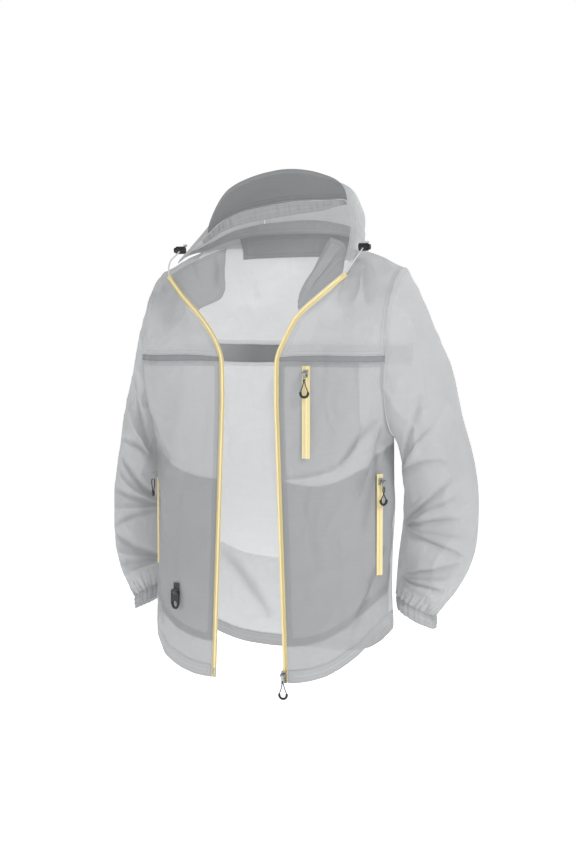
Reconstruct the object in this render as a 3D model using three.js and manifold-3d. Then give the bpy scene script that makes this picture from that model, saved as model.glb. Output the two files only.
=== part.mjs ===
// A thin hooded jacket with its front zip open, standing as it is worn.
// Millimetres, +Z up, +X to the wearer's left, front towards -Y.
// The origin lies just above the neck seam at the centre back.

import * as THREE from 'three';
import { mergeVertices } from 'three/addons/utils/BufferGeometryUtils.js';
import Module from 'manifold-3d';

const wasm = await Module();
wasm.setup();

// ---------------------------------------------------------------- sizes

const cloth = { thickness: 1.0, seamGap: 0.45, layerGap: 0.45, lapelGap: 1.2, sleeveGap: 0.4 };

const torso = { halfWidth: 198, halfDepth: 134, squareness: 2.8, centreY: -105 };
const body = { length: 740, sideRise: 78, hemBand: 20 };
const chest = { level: -222, frontTape: 10, backTape: 30, frontReach: 236, frontCorner: 224 };
const armhole = { tipX: 221, rightIn: 20, tipZ: -78, underX: 205, underZ: -350, halfDepth: 86 };
const neck = { backZ: -12, sideX: 138, sideY: -88, sideZ: -44 };

const opening = { shift: 4, chestHalf: 45, hemHalf: 61, faceY: -239, straightTop: -290 };
const lapel = { seamX: 81, seamY: -232, seamZ: -156, tipX: 152, tipY: -200, tipZ: -88, bulge: 6 };

const sleeve = {
  length: 565, cuffHeight: 23, cuffHalfWidth: 35, cuffHalfDepth: 33, cuffX: 240, cuffOuterIn: 5, cuffInnerIn: 4,
  innerDrop: 260.795,
};

// How much closer each sleeve's outer line lies to the arm, station by station.
const sleeveTuck = {
  left: [0, 6, 6, 4, 0, 0, 0, 0, 0],
  right: [0, 21, 31, 17, 10, -2, -10, -14, 0],
};

const hoodSeam = { right: 0.36, left: 0.64, gap: 0.0013, end: 0.05 };
const hoodPouch = { spread: 2.2, leftSpread: 3.2, leftBulge: 0.3 };
const brim = { rise: 50, lean: 6, thickness: 2.4, extraGap: 0.3, sink: 1.2, lift: 0.8 };
const channel = { height: 20, setBack: 8, from: 0.12, span: 0.58, inward: 2, drop: 1.6 };

const zip = { coilRadius: 1.7, tape: 0.9, freeSide: 2.6, panelSide: 5.2, gap: 0.5 };
const pocketZip = { width: 13, coilHalf: 2.0, coilRise: 1.7, plate: 0.9 };
const slider = { length: 11, plate: 1.1, wall: 1.1, running: 0.5, cheek: 1.2 };
const bail = { radius: 0.9, standOff: 2.7, lip: 0.6, cheekHalf: 2 };
const tab = { width: 4.4, thickness: 1.8, length: 13, eyeWall: 1.1, rim: 1.8, holeHeight: 3.4 };
const cordPull = { strand: 1.7, drop: 18, endRadius: 6.4, endTube: 2.1 };
const pull = { play: 0.5 };

const pocketEnd = 6;
const endBlock = { height: 7, width: 6.4, depth: 3.4, pin: 1.3, pinHeight: 15, lift: 0.3 };

const chestPocket = { x: 100, y: -236, top: -233, length: 146 };
const sidePocket = { x: 193, y: -150, top: -408, length: 164, turn: 60 };

const cord = { radius: 1.2, slope: 25, x: 161, bendY: -172, bendZ: -62, straight: 62, lockAt: 44 };
const lock = { radius: 6.4, length: 15, bore: 4.9, plungerOut: 3.6, travel: 2.4, wall: 1.4, clearance: 0.4 };
const hook = { x: 130, y: -222, z: -606, webWidth: 12, webLength: 14, webThickness: 1.6 };
const ring = { width: 17, height: 30, thickness: 3.2, wall: 3.4, bar: 2.6 };

const colours = {
  shell: 0xc6c8ca, doubled: 0x9fa2a5, dark: 0x7d8083, light: 0xd6d8da,
  zip: 0xead98c, metal: 0x8a8c8e, plastic: 0x17181a, elastic: 0xdfe1e2,
};

// ---------------------------------------------------------------- helpers

const jacket = new THREE.Group();

const vec = (x, y, z) => new THREE.Vector3(x, y, z);
const steps = (count, from = 0, to = 1) =>
  Array.from({ length: count + 1 }, (_, i) => from + ((to - from) * i) / count);

function material(colour, roughness = 0.85, metalness = 0) {
  return new THREE.MeshStandardMaterial({ color: colour, roughness, metalness });
}

function add(name, geometry, colour, roughness, metalness, parent = jacket) {
  const mesh = new THREE.Mesh(geometry, material(colour, roughness, metalness));
  mesh.name = name;
  parent.add(mesh);
  return mesh;
}

function solid(geometry) {
  const bare = geometry.clone();
  bare.deleteAttribute('normal');
  bare.deleteAttribute('uv');
  const merged = mergeVertices(bare, 1e-4);
  return new wasm.Manifold(new wasm.Mesh({
    numProp: 3,
    vertProperties: Float32Array.from(merged.attributes.position.array),
    triVerts: Uint32Array.from(merged.index.array),
  }));
}

function geometryOf(manifold) {
  const mesh = manifold.getMesh();
  const geometry = new THREE.BufferGeometry();
  geometry.setAttribute('position', new THREE.BufferAttribute(mesh.vertProperties, 3));
  geometry.setIndex(new THREE.BufferAttribute(mesh.triVerts, 1));
  geometry.computeVertexNormals();
  return geometry;
}

function joined(...geometries) {
  return geometryOf(geometries.map(solid).reduce((all, next) => all.add(next)));
}

function cut(geometry, ...tools) {
  return geometryOf(tools.map(solid).reduce((left, tool) => left.subtract(tool), solid(geometry)));
}

// A round tube along a curve, with flat ends.
function roundTube(curve, radius, sides, count) {
  const rim = steps(sides).slice(0, -1).map((t) => 2 * Math.PI * t)
    .map((turn) => new THREE.Vector2(radius * Math.cos(turn), radius * Math.sin(turn)));
  const section = new THREE.Shape(rim);
  return new THREE.ExtrudeGeometry(section, { steps: count, extrudePath: curve, bevelEnabled: false });
}

function box(x0, x1, y0, y1, z0, z1) {
  const geometry = new THREE.BoxGeometry(x1 - x0, y1 - y0, z1 - z0);
  geometry.translate((x0 + x1) / 2, (y0 + y1) / 2, (z0 + z1) / 2);
  return geometry;
}

function rod(radius, length, axis, sides = 12) {
  const geometry = new THREE.CylinderGeometry(radius, radius, length, sides);
  if (axis === 'x') geometry.rotateZ(Math.PI / 2);
  if (axis === 'z') geometry.rotateX(Math.PI / 2);
  return geometry;
}

// A closed outline in the plane of Y (across) and Z (up), drawn out along X.
function sideways(shape, width) {
  const geometry = new THREE.ExtrudeGeometry(shape, { depth: width, bevelEnabled: false, curveSegments: 4 });
  geometry.applyMatrix4(new THREE.Matrix4().makeBasis(vec(0, 1, 0), vec(0, 0, 1), vec(1, 0, 0)));
  geometry.translate(-width / 2, 0, 0);
  return geometry;
}

// The way out of a surface at (u, v), from its two directions.
function outward(surface, u, v) {
  const small = 1e-3;
  const across = surface(Math.min(1, u + small), v).sub(surface(Math.max(0, u - small), v));
  const along = surface(u, Math.min(1, v + small)).sub(surface(u, Math.max(0, v - small)));
  return across.cross(along).normalize();
}

// A thin closed solid over the grid of columns and rows, from one offset to the other.
function sheet(surface, columns, rows, inner, outer, closed = false) {
  const wide = columns.length;
  const tall = rows.length;
  const points = [];
  for (const offset of [inner, outer]) {
    for (const v of rows) {
      for (const u of columns) points.push(surface(u, v).addScaledVector(outward(surface, u, v), offset));
    }
  }
  const at = (layer, i, j) => (layer * tall + j) * wide + (closed ? i % wide : i);
  const faces = [];
  const quad = (a, b, c, d) => faces.push(a, b, c, a, c, d);
  const lastColumn = closed ? wide : wide - 1;
  for (let j = 0; j < tall - 1; j += 1) {
    for (let i = 0; i < lastColumn; i += 1) {
      quad(at(1, i, j), at(1, i + 1, j), at(1, i + 1, j + 1), at(1, i, j + 1));
      quad(at(0, i, j), at(0, i, j + 1), at(0, i + 1, j + 1), at(0, i + 1, j));
    }
  }
  for (let i = 0; i < lastColumn; i += 1) {
    quad(at(0, i, 0), at(0, i + 1, 0), at(1, i + 1, 0), at(1, i, 0));
    quad(at(1, i, tall - 1), at(1, i + 1, tall - 1), at(0, i + 1, tall - 1), at(0, i, tall - 1));
  }
  for (let j = 0; !closed && j < tall - 1; j += 1) {
    quad(at(1, 0, j), at(1, 0, j + 1), at(0, 0, j + 1), at(0, 0, j));
    quad(at(0, wide - 1, j), at(0, wide - 1, j + 1), at(1, wide - 1, j + 1), at(1, wide - 1, j));
  }
  return facingOut(points, faces);
}

function facingOut(points, faces) {
  let volume = 0;
  for (let k = 0; k < faces.length; k += 3) {
    const [a, b, c] = [points[faces[k]], points[faces[k + 1]], points[faces[k + 2]]];
    volume += a.dot(b.clone().cross(c));
  }
  const geometry = new THREE.BufferGeometry();
  geometry.setFromPoints(points);
  geometry.setIndex(volume > 0 ? faces : faces.slice().reverse());
  geometry.computeVertexNormals();
  return geometry;
}

// The surface between four edge curves: bottom and top run along u, left and right along v.
// The side edges' own bends fade out across the sheet; a higher hold fades them sooner.
function filled({ bottom, top, left, right, hold = 2 }) {
  const between = (u, v) => bottom(u).lerp(top(u), v);
  return (u, v) => between(u, v)
    .addScaledVector(left(v).sub(between(0, v)), (1 - u) ** hold)
    .addScaledVector(right(v).sub(between(1, v)), u ** hold);
}

// A curve moved so that it starts and ends at the two given points.
function pinned(curve, start, end) {
  const first = start.clone().sub(curve(0));
  const last = end.clone().sub(curve(1));
  return (t) => curve(t).addScaledVector(first, 1 - t).addScaledVector(last, t);
}

const spline = (...points) => new THREE.CatmullRomCurve3(points);
const evenly = (curve) => (t) => curve.getPointAt(Math.min(1, Math.max(0, t)));

function chain(...curves) {
  const path = new THREE.CurvePath();
  curves.forEach((curve) => path.add(curve));
  return (t) => path.getPoint(Math.min(1, Math.max(0, t)));
}

const half = cloth.thickness / 2;

// ---------------------------------------------------------------- body lines

function torsoPoint(angle, level) {
  const power = 2 / torso.squareness;
  const across = Math.sin(angle);
  const ahead = Math.cos(angle);
  return vec(
    torso.halfWidth * Math.sign(across) * Math.abs(across) ** power,
    torso.centreY - torso.halfDepth * Math.sign(ahead) * Math.abs(ahead) ** power,
    level,
  );
}

const hemLevel = (angle) => -body.length + body.sideRise * Math.abs(Math.sin(angle)) ** 3;

// The right shoulder sits a little further in than the left one.
const armholeTip = (side) => armhole.tipX - (side < 0 ? armhole.rightIn : 0);

// Points of the armhole loop: turn 0 at the shoulder tip, a half turn at the underarm,
// positive turns over the front. The loop lies in one plane; out moves it off that plane.
function armholePoint(side, turn, out) {
  const rise = Math.cos(turn);
  const tipX = armholeTip(side);
  const x = (tipX + armhole.underX) / 2 + ((tipX - armhole.underX) / 2) * rise + out;
  const z = (armhole.tipZ + armhole.underZ) / 2 + ((armhole.tipZ - armhole.underZ) / 2) * rise;
  return vec(side * x, torso.centreY - armhole.halfDepth * Math.sin(turn), z);
}

function armholeTurn(level) {
  const middle = (armhole.tipZ + armhole.underZ) / 2;
  return Math.acos((level - middle) / ((armhole.tipZ - armhole.underZ) / 2));
}

function armholeArc(side, from, to, slip) {
  return new (class extends THREE.Curve {
    getPoint(t, target = new THREE.Vector3()) {
      const point = armholePoint(side, from + (to - from) * t, -cloth.seamGap);
      return target.set(point.x, point.y + slip, point.z);
    }
  })();
}

// ---------------------------------------------------------------- front zip line

const tapeLow = chest.level - chest.frontTape / 2;
const tapeHigh = chest.level + chest.frontTape / 2;
const hemFront = -body.length + cloth.seamGap;

const zipFoot = (side) => vec(side * opening.hemHalf + opening.shift, opening.faceY, hemFront);
const zipBend = (side) => vec(side * opening.chestHalf + opening.shift, opening.faceY, opening.straightTop);

const zipLower = (side) => new THREE.LineCurve3(zipFoot(side), zipBend(side));

// From the straight stretch through the chest tape and the neck seam to the tip of the lapel.
const flareMarks = { tapeLow: 1 / 6, tapeHigh: 2 / 6, neckSeam: 4 / 6, tapeGap: 0.015 };
const zipFlare = (side) => spline(
  zipBend(side),
  vec(side * (opening.chestHalf + 1) + opening.shift, opening.faceY, tapeLow),
  vec(side * (opening.chestHalf + 2.5) + opening.shift, opening.faceY, tapeHigh),
  vec(side * (opening.chestHalf + lapel.seamX) * 0.47 + opening.shift, opening.faceY + 2, -190),
  vec(side * lapel.seamX, lapel.seamY, lapel.seamZ),
  vec(
    side * (lapel.seamX + lapel.tipX) / 2,
    (lapel.seamY + lapel.tipY) / 2 - lapel.bulge,
    (lapel.seamZ + lapel.tipZ) / 2,
  ),
  vec(side * lapel.tipX, lapel.tipY, lapel.tipZ),
);

// A point beside the zip line, square to it in the plane that faces front.
function besideZip(curve, t, side, offset) {
  const tangent = curve.getTangent(Math.min(1, Math.max(0, t)));
  const across = tangent.cross(vec(0, -1, 0)).normalize();
  return curve.getPoint(t).addScaledVector(across, side * offset);
}

// The way out of the tape, square to the zip line.
function zipNormal(curve, t) {
  const tangent = curve.getTangent(t);
  return tangent.clone().cross(vec(0, -1, 0)).cross(tangent).normalize();
}

class ZipEdge extends THREE.Curve {
  constructor(curve, side, offset, from = 0, to = 1) {
    super();
    Object.assign(this, { curve, side, offset, from, to });
  }

  getPoint(t, target = new THREE.Vector3()) {
    return target.copy(besideZip(this.curve, this.from + (this.to - this.from) * t, this.side, this.offset));
  }
}

const panelOffset = zip.panelSide + cloth.seamGap;
const lapelOffset = zip.panelSide + cloth.lapelGap;

// ---------------------------------------------------------------- front and back panels

const frontColumns = steps(8);
const panelRows = steps(13);
const yokeRows = steps(12);
const backColumns = steps(18);

// Angle of the torso section at which its front lies at the given distance from the middle.
const frontAngle = (x) => Math.asin((x / torso.halfWidth) ** (torso.squareness / 2));

function hemArc(from, to, rise) {
  return (t) => {
    const angle = from + (to - from) * t;
    return torsoPoint(angle, hemLevel(angle) + rise);
  };
}

function hemStart(side) {
  const foot = zipFoot(side);
  return side * frontAngle(Math.abs(foot.x) + panelOffset);
}

function sideSeam(side, low, slip) {
  const foot = torsoPoint((side * Math.PI) / 2, low);
  const top = armholePoint(side, Math.PI, -cloth.seamGap);
  return new THREE.LineCurve3(vec(foot.x, foot.y + slip, low), vec(top.x, top.y + slip, top.z));
}

const sideHem = -body.length + body.sideRise;
const bandTop = body.hemBand + cloth.seamGap;

function frontChestArc(side, level, start, end) {
  return evenly(spline(
    start,
    vec(side * torso.halfWidth * 0.56, -chest.frontReach, level),
    vec(side * torso.halfWidth * 0.84, -chest.frontCorner, level),
    end,
  ));
}

function frontPanel(side) {
  const seam = chain(
    sideSeam(side, sideHem + bandTop, -cloth.seamGap),
    armholeArc(side, Math.PI, armholeTurn(tapeLow - cloth.seamGap), -cloth.seamGap),
  );
  const foot = zipFoot(side);
  const bandShare = bandTop / (opening.straightTop - foot.z);
  const lower = new THREE.LineCurve3(foot.clone().lerp(zipBend(side), bandShare), zipBend(side));
  const edge = chain(
    new ZipEdge(lower, side, panelOffset),
    new ZipEdge(zipFlare(side), side, panelOffset, 0, flareMarks.tapeLow),
  );
  return filled({
    bottom: pinned(hemArc(hemStart(side), (side * Math.PI) / 2, bandTop), edge(0), seam(0)),
    top: frontChestArc(side, tapeLow - cloth.seamGap, edge(1), seam(1)),
    left: edge,
    right: seam,
  });
}

function frontTape(side) {
  const flare = zipFlare(side);
  const { tapeLow: markLow, tapeHigh: markHigh, tapeGap } = flareMarks;
  const edge = evenly(new ZipEdge(flare, side, panelOffset, markLow + tapeGap, markHigh - tapeGap));
  const [turnLow, turnHigh] = [armholeTurn(tapeLow + cloth.seamGap), armholeTurn(tapeHigh - cloth.seamGap)];
  const seam = evenly(armholeArc(side, turnLow, turnHigh, 0));
  return filled({
    bottom: frontChestArc(side, tapeLow + cloth.seamGap / 2, edge(0), seam(0)),
    top: frontChestArc(side, tapeHigh - cloth.seamGap / 2, edge(1), seam(1)),
    left: edge,
    right: seam,
  });
}

const tipPoint = (side, slip) => {
  const tip = armholePoint(side, 0, -cloth.seamGap);
  return vec(tip.x, tip.y + slip, tip.z);
};
const neckSide = (side, slip) => vec(side * neck.sideX, neck.sideY + slip, neck.sideZ);
const shoulder = (side, slip) => spline(
  neckSide(side, slip),
  neckSide(side, slip).lerp(tipPoint(side, slip), 0.5).add(vec(0, 0, 3)),
  tipPoint(side, slip),
);

function frontYoke(side) {
  const flare = zipFlare(side);
  const edge = evenly(new ZipEdge(flare, side, lapelOffset, flareMarks.tapeHigh, 1));
  const seam = evenly(armholeArc(side, armholeTurn(tapeHigh + cloth.seamGap), 0, -cloth.seamGap));
  const crest = edge(1);
  const collarBase = spline(
    crest,
    vec(side * (lapel.tipX - 1), (crest.y + neck.sideY) / 2, (crest.z + neck.sideZ) / 2 + 5),
    neckSide(side, -cloth.seamGap),
  );
  return filled({
    bottom: frontChestArc(side, tapeHigh + cloth.seamGap, edge(0), seam(0)),
    top: chain(collarBase, shoulder(side, -cloth.seamGap)),
    left: edge,
    right: seam,
  });
}

function hemBand(side) {
  const foot = zipFoot(side);
  const bandShare = body.hemBand / (opening.straightTop - foot.z);
  const edge = evenly(new ZipEdge(zipLower(side), side, panelOffset, 0, bandShare));
  const seam = sideSeam(side, sideHem, -cloth.seamGap);
  const seamPart = (t) => seam.getPoint((t * body.hemBand) / (armhole.underZ - sideHem));
  return filled({
    bottom: pinned(hemArc(hemStart(side), (side * Math.PI) / 2, 0), edge(0), seamPart(0)),
    top: pinned(hemArc(hemStart(side), (side * Math.PI) / 2, body.hemBand), edge(1), seamPart(1)),
    left: edge,
    right: seamPart,
  });
}

// The back runs from the wearer's left side round to the right.
const backChestArc = (level, left, right) => evenly(spline(
  left,
  vec(torso.halfWidth * 0.8, torso.centreY + torso.halfDepth - 10, level),
  vec(0, torso.centreY + torso.halfDepth + 3, level),
  vec(-torso.halfWidth * 0.8, torso.centreY + torso.halfDepth - 10, level),
  right,
));
const bandLow = chest.level - chest.backTape / 2 + 4;
const bandHigh = chest.level + chest.backTape / 2 + 4;

const backArmhole = (side, from, to) => armholeArc(side, -from, -to, cloth.seamGap);

function backPanel() {
  const seam = (side) => chain(
    sideSeam(side, sideHem + bandTop, cloth.seamGap),
    backArmhole(side, Math.PI, armholeTurn(bandLow - cloth.seamGap)),
  );
  const [left, right] = [seam(1), seam(-1)];
  return filled({
    bottom: pinned(hemArc(Math.PI / 2, Math.PI * 1.5, bandTop), left(0), right(0)),
    top: backChestArc(bandLow - cloth.seamGap, left(1), right(1)),
    left,
    right,
    hold: 4,
  });
}

function backTape() {
  const seam = (side) => evenly(backArmhole(side, armholeTurn(bandLow), armholeTurn(bandHigh)));
  const [left, right] = [seam(1), seam(-1)];
  return filled({
    bottom: backChestArc(bandLow, left(0), right(0)),
    top: backChestArc(bandHigh, left(1), right(1)),
    left,
    right,
  });
}

function backHem() {
  const seam = (side) => {
    const line = sideSeam(side, sideHem, cloth.seamGap);
    return (t) => line.getPoint((t * body.hemBand) / (armhole.underZ - sideHem));
  };
  const [left, right] = [seam(1), seam(-1)];
  return filled({
    bottom: pinned(hemArc(Math.PI / 2, Math.PI * 1.5, 0), left(0), right(0)),
    top: pinned(hemArc(Math.PI / 2, Math.PI * 1.5, body.hemBand), left(1), right(1)),
    left,
    right,
  });
}

// The back of the neck seam, from the wearer's left shoulder to the right.
const neckLine = (slip, rise) => spline(
  neckSide(1, slip).add(vec(0, 0, rise)),
  vec(neck.sideX * 0.72, neck.sideY * 0.36 + slip, neck.backZ - 9 + rise),
  vec(0, slip, neck.backZ + rise),
  vec(-neck.sideX * 0.72, neck.sideY * 0.36 + slip, neck.backZ - 9 + rise),
  neckSide(-1, slip).add(vec(0, 0, rise)),
);

class Reversed extends THREE.Curve {
  constructor(curve) {
    super();
    this.curve = curve;
  }

  getPoint(t, target = new THREE.Vector3()) {
    return target.copy(this.curve.getPointAt(1 - t));
  }
}

function backYoke() {
  const seam = (side) => evenly(backArmhole(side, armholeTurn(bandHigh + cloth.seamGap), 0));
  const [left, right] = [seam(1), seam(-1)];
  return filled({
    bottom: backChestArc(bandHigh + cloth.seamGap, left(0), right(0)),
    top: chain(
      new Reversed(shoulder(1, cloth.seamGap)),
      neckLine(cloth.seamGap, 0),
      shoulder(-1, cloth.seamGap),
    ),
    left,
    right,
    hold: 3,
  });
}

for (const [name, side] of [['left', 1], ['right', -1]]) {
  add(`${name}_front_panel`, sheet(frontPanel(side), frontColumns, panelRows, -half, half), colours.shell);
  add(`${name}_chest_tape`, sheet(frontTape(side), frontColumns, [0, 1], -half, half), colours.dark);
  add(`${name}_front_yoke`, sheet(frontYoke(side), frontColumns, yokeRows, -half, half), colours.shell);
  add(`${name}_hem_band`, sheet(hemBand(side), frontColumns, [0, 1], -half, half), colours.doubled);
}
add('back_panel', sheet(backPanel(), backColumns, panelRows, -half, half), colours.shell);
add('back_band_tape', sheet(backTape(), backColumns, [0, 1], -half, half), colours.dark);
add('back_hem_band', sheet(backHem(), backColumns, [0, 1], -half, half), colours.doubled);

const yokeColumns = steps(24);
const yoke = backYoke();
const backYokeRows = steps(9);
add('back_yoke', sheet(yoke, yokeColumns, backYokeRows, -half, half), colours.shell);

// ---------------------------------------------------------------- inner layers

const inner = -half - cloth.layerGap;
add(
  'back_neck_facing',
  sheet(yoke, yokeColumns.slice(7, 18), backYokeRows.slice(7), inner - cloth.thickness, inner),
  colours.dark,
);
const bagRows = { chest: panelRows.slice(8), lower: panelRows.slice(1, 8) };
add(
  'chest_pocket_bag',
  sheet(frontPanel(1), frontColumns.slice(0, 7), bagRows.chest, inner - cloth.thickness, inner),
  colours.doubled,
);
for (const [name, side] of [['left', 1], ['right', -1]]) {
  const layers = [side * (inner - cloth.thickness), side * inner];
  add(`${name}_pocket_bag`, sheet(frontPanel(side), frontColumns, bagRows.lower, ...layers), colours.doubled);
}

// The facing of each lapel runs from the zip line in to the fold beside the neck.
function collarFacing(side) {
  const flare = zipFlare(side);
  const offset = -zip.freeSide - cloth.lapelGap;
  const edge = evenly(new ZipEdge(flare, side, offset, flareMarks.neckSeam + 0.04, 0.99));
  const start = edge(0).add(vec(-side * 3, 2, 3));
  const fold = side > 0
    ? [vec(64, -176, -122), vec(74, -122, -72), vec(88, -84, -24)]
    : [vec(-68, -172, -122), vec(-86, -118, -72), vec(-94, -92, -40)];
  const crest = side > 0
    ? [vec(118, -104, -36), vec(138, -156, -66)]
    : [vec(-112, -118, -50), vec(-134, -162, -70)];
  return filled({
    bottom: (t) => start.clone().lerp(edge(0), t),
    top: evenly(spline(fold.at(-1), ...crest, edge(1))),
    left: evenly(spline(start, ...fold)),
    right: edge,
    hold: 1,
  });
}
for (const [name, side] of [['left', 1], ['right', -1]]) {
  add(`${name}_collar_facing`, sheet(collarFacing(side), steps(7), steps(8), -half, half), colours.light);
}

// ---------------------------------------------------------------- sleeves and cuffs

// Each station: share of the sleeve's length, outer and inner reach from the middle,
// height under the shoulder tip, place front to back, and half depth.
const sleeveRun = (share) => armhole.tipZ - sleeve.length * share;
const cuffInnerZ = sleeveRun(0.943);
const innerRun = (drop) => armhole.underZ + ((cuffInnerZ - armhole.underZ) * drop) / sleeve.innerDrop;
const cuffTop = {
  outer: sleeve.cuffX + sleeve.cuffHalfWidth - sleeve.cuffOuterIn,
  inner: sleeve.cuffX - sleeve.cuffHalfWidth + sleeve.cuffInnerIn,
};

function sleeveStations(side) {
  const tuck = side > 0 ? sleeveTuck.left : sleeveTuck.right;
  const station = (outer, outerZ, inner, innerZ, y, halfDepth) => ({
    outer: vec(side * outer, y, outerZ),
    inner: vec(side * inner, y, innerZ),
    halfDepth,
  });
  const { underX, underZ, halfDepth } = armhole;
  const tipX = armholeTip(side);
  const out = cloth.seamGap + cloth.sleeveGap;
  const stations = [
    station(tipX + out, armhole.tipZ, underX + out, underZ, torso.centreY, halfDepth),
    station(tipX + 35, sleeveRun(0.09), underX + 9, innerRun(17), torso.centreY + 1, halfDepth - 4),
    station(tipX + 70, sleeveRun(0.245), underX + 14, innerRun(36), torso.centreY + 8, halfDepth - 10),
    station(tipX + 95, sleeveRun(0.41), underX + 18, innerRun(68), torso.centreY + 21, halfDepth - 16),
    station(tipX + 111, sleeveRun(0.57), underX + 20, innerRun(106), torso.centreY + 38, halfDepth - 22),
    station(tipX + 117, sleeveRun(0.71), underX + 19, innerRun(152), torso.centreY + 50, halfDepth - 27),
    station(tipX + 112, sleeveRun(0.835), underX + 14, innerRun(208), torso.centreY + 47, halfDepth - 31),
    station(tipX + 88, sleeveRun(0.925), underX + 8, innerRun(240), torso.centreY + 34, halfDepth - 39),
    station(
      cuffTop.outer, sleeveRun(1), cuffTop.inner, cuffInnerZ,
      torso.centreY + 22, sleeve.cuffHalfDepth,
    ),
  ];
  stations.forEach((each, i) => { each.outer.x -= side * tuck[i]; });
  return stations;
}

function tube(stations) {
  const outer = spline(...stations.map((s) => s.outer));
  const inner = spline(...stations.map((s) => s.inner));
  const depths = spline(...stations.map((s) => vec(s.halfDepth, 0, 0)));
  return (u, v) => {
    const turn = 2 * Math.PI * u;
    const [a, b] = [outer.getPoint(v), inner.getPoint(v)];
    const middle = a.clone().add(b).multiplyScalar(0.5);
    const reach = a.sub(b).multiplyScalar(0.5);
    const forward = -depths.getPoint(v).x * Math.sin(turn);
    return middle.addScaledVector(reach, Math.cos(turn)).add(vec(0, forward, 0));
  };
}

const around = steps(16).slice(0, -1);

function cuffBand(side) {
  const end = sleeveStations(side).at(-1);
  const drop = (point, fall) => vec(point.x, point.y, point.z - fall);
  const ringAt = (fall) => ({
    outer: drop(end.outer, fall),
    inner: drop(end.inner, fall),
    halfDepth: end.halfDepth,
  });
  return tube([ringAt(2 * cloth.layerGap), ringAt(sleeve.cuffHeight / 2), ringAt(sleeve.cuffHeight)]);
}

for (const [name, side] of [['left', 1], ['right', -1]]) {
  const arm = tube(sleeveStations(side));
  add(`${name}_sleeve`, sheet(arm, around, steps(16), -half, half, true), colours.shell);
  add(`${name}_cuff`, sheet(cuffBand(side), around, steps(2), -half, half, true), colours.doubled);
}

// ---------------------------------------------------------------- hood

// The rim of the hood: from the right lapel tip up to the brim, over, and down to the left lapel tip.
const lapelTip = (side) => vec(side * lapel.tipX, lapel.tipY, lapel.tipZ);
const hoodRise = cloth.thickness + cloth.layerGap * 3.5;
const rimPoints = [
  vec(-103, -150, -20), vec(-64, -152, 9), vec(16, -134, 31), vec(76, -98, 36), vec(109, -62, 36),
];
const rim = spline(
  lapelTip(-1).add(vec(4, 4, 6)),
  ...rimPoints,
  vec(126, -96, -24),
  lapelTip(1).add(vec(-4, 4, 6)),
);
const brimSpan = { from: 1 / 7, to: 5 / 7 };

const hoodBase = chain(
  spline(
    lapelTip(-1).add(vec(2, 8, 7)),
    vec(-lapel.tipX + 1, (lapel.tipY + neck.sideY) / 2, (lapel.tipZ + neck.sideZ) / 2 + 8),
    neckSide(-1, 0).add(vec(0, 0, hoodRise)),
  ),
  new Reversed(neckLine(0, hoodRise)),
  spline(
    neckSide(1, 0).add(vec(0, 0, hoodRise)),
    vec(lapel.tipX - 1, (lapel.tipY + neck.sideY) / 2, (lapel.tipZ + neck.sideZ) / 2 + 8),
    lapelTip(1).add(vec(-2, 8, 7)),
  ),
);

// Marks on the hood's profile from neck seam to rim: share of the way, then how far the cloth
// stands outward, back and up at the middle of the back, where it folds down into a pouch.
const hoodFolds = [
  [0, 0, 0, 0], [0.08, 3, 26, 18], [0.16, 10, 50, 2], [0.25, 20, 78, -38],
  [0.45, 26, 118, -18], [0.65, 24, 124, 40], [0.85, 12, 68, 52], [1, 0, 0, 0],
];

function hood(u, v) {
  const low = hoodBase(u);
  const high = rim.getPoint(u);
  const onLeft = u > 0.5;
  const back = Math.sin(Math.PI * u) ** (onLeft ? hoodPouch.leftSpread : hoodPouch.spread);
  const lobes = Math.sin(2 * Math.PI * u) * Math.abs(Math.sin(2 * Math.PI * u)) ** 0.5;
  const sideBulge = lobes * (onLeft ? hoodPouch.leftBulge : 1);
  const marks = hoodFolds.map(([share, out, behind, rise]) => low.clone().lerp(high, share)
    .add(vec(-sideBulge * out, behind * back, rise * back)));
  return spline(...marks).getPoint(v);
}

const hoodRows = steps(12, 0.004, 1);
const hoodParts = [
  ['hood_right_panel', steps(9, hoodSeam.end, hoodSeam.right - hoodSeam.gap)],
  ['hood_centre_panel', steps(8, hoodSeam.right + hoodSeam.gap, hoodSeam.left - hoodSeam.gap)],
  ['hood_left_panel', steps(9, hoodSeam.left + hoodSeam.gap, 1 - hoodSeam.end)],
];
for (const [name, columns] of hoodParts) {
  add(name, sheet(hood, columns, hoodRows, -half, half), colours.shell);
}

const brimGap = cloth.thickness / 2 + cloth.layerGap + brim.extraGap;
const brimSheet = (u, v) => {
  const share = brimSpan.from + (brimSpan.to - brimSpan.from) * u;
  const arch = Math.sin(Math.PI * u) ** 0.6;
  const root = rim.getPoint(share).add(vec(0, -brim.sink, brimGap + brim.lift));
  return root.add(vec(0, -brim.lean * v * arch, brim.rise * v * (0.12 + 0.88 * arch)));
};
const brimHalf = brim.thickness / 2;
add('hood_brim', sheet(brimSheet, steps(16), steps(3), -brimHalf, brimHalf), colours.dark);

const channelSheet = (u, v) => {
  const depth = channel.height * (0.25 + 0.75 * Math.sin(Math.PI * u));
  const root = rim.getPoint(channel.from + channel.span * u);
  return root.add(vec(0, channel.setBack * v - channel.inward, -channel.drop - depth * v));
};
add('hood_drawcord_channel', sheet(channelSheet, steps(14), steps(2), -half, half), colours.doubled);

// ---------------------------------------------------------------- front zip

const zipLength = zipFoot(1).distanceTo(zipBend(1));
const coilFront = zip.tape / 2 + zip.gap + zip.coilRadius;

function zipTape(side) {
  return (u, v) => {
    const offset = -zip.freeSide + (zip.freeSide + zip.panelSide) * u;
    return v <= 0.5
      ? besideZip(zipLower(side), 2 * v, side, offset)
      : besideZip(zipFlare(side), 2 * v - 1, side, offset);
  };
}

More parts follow.
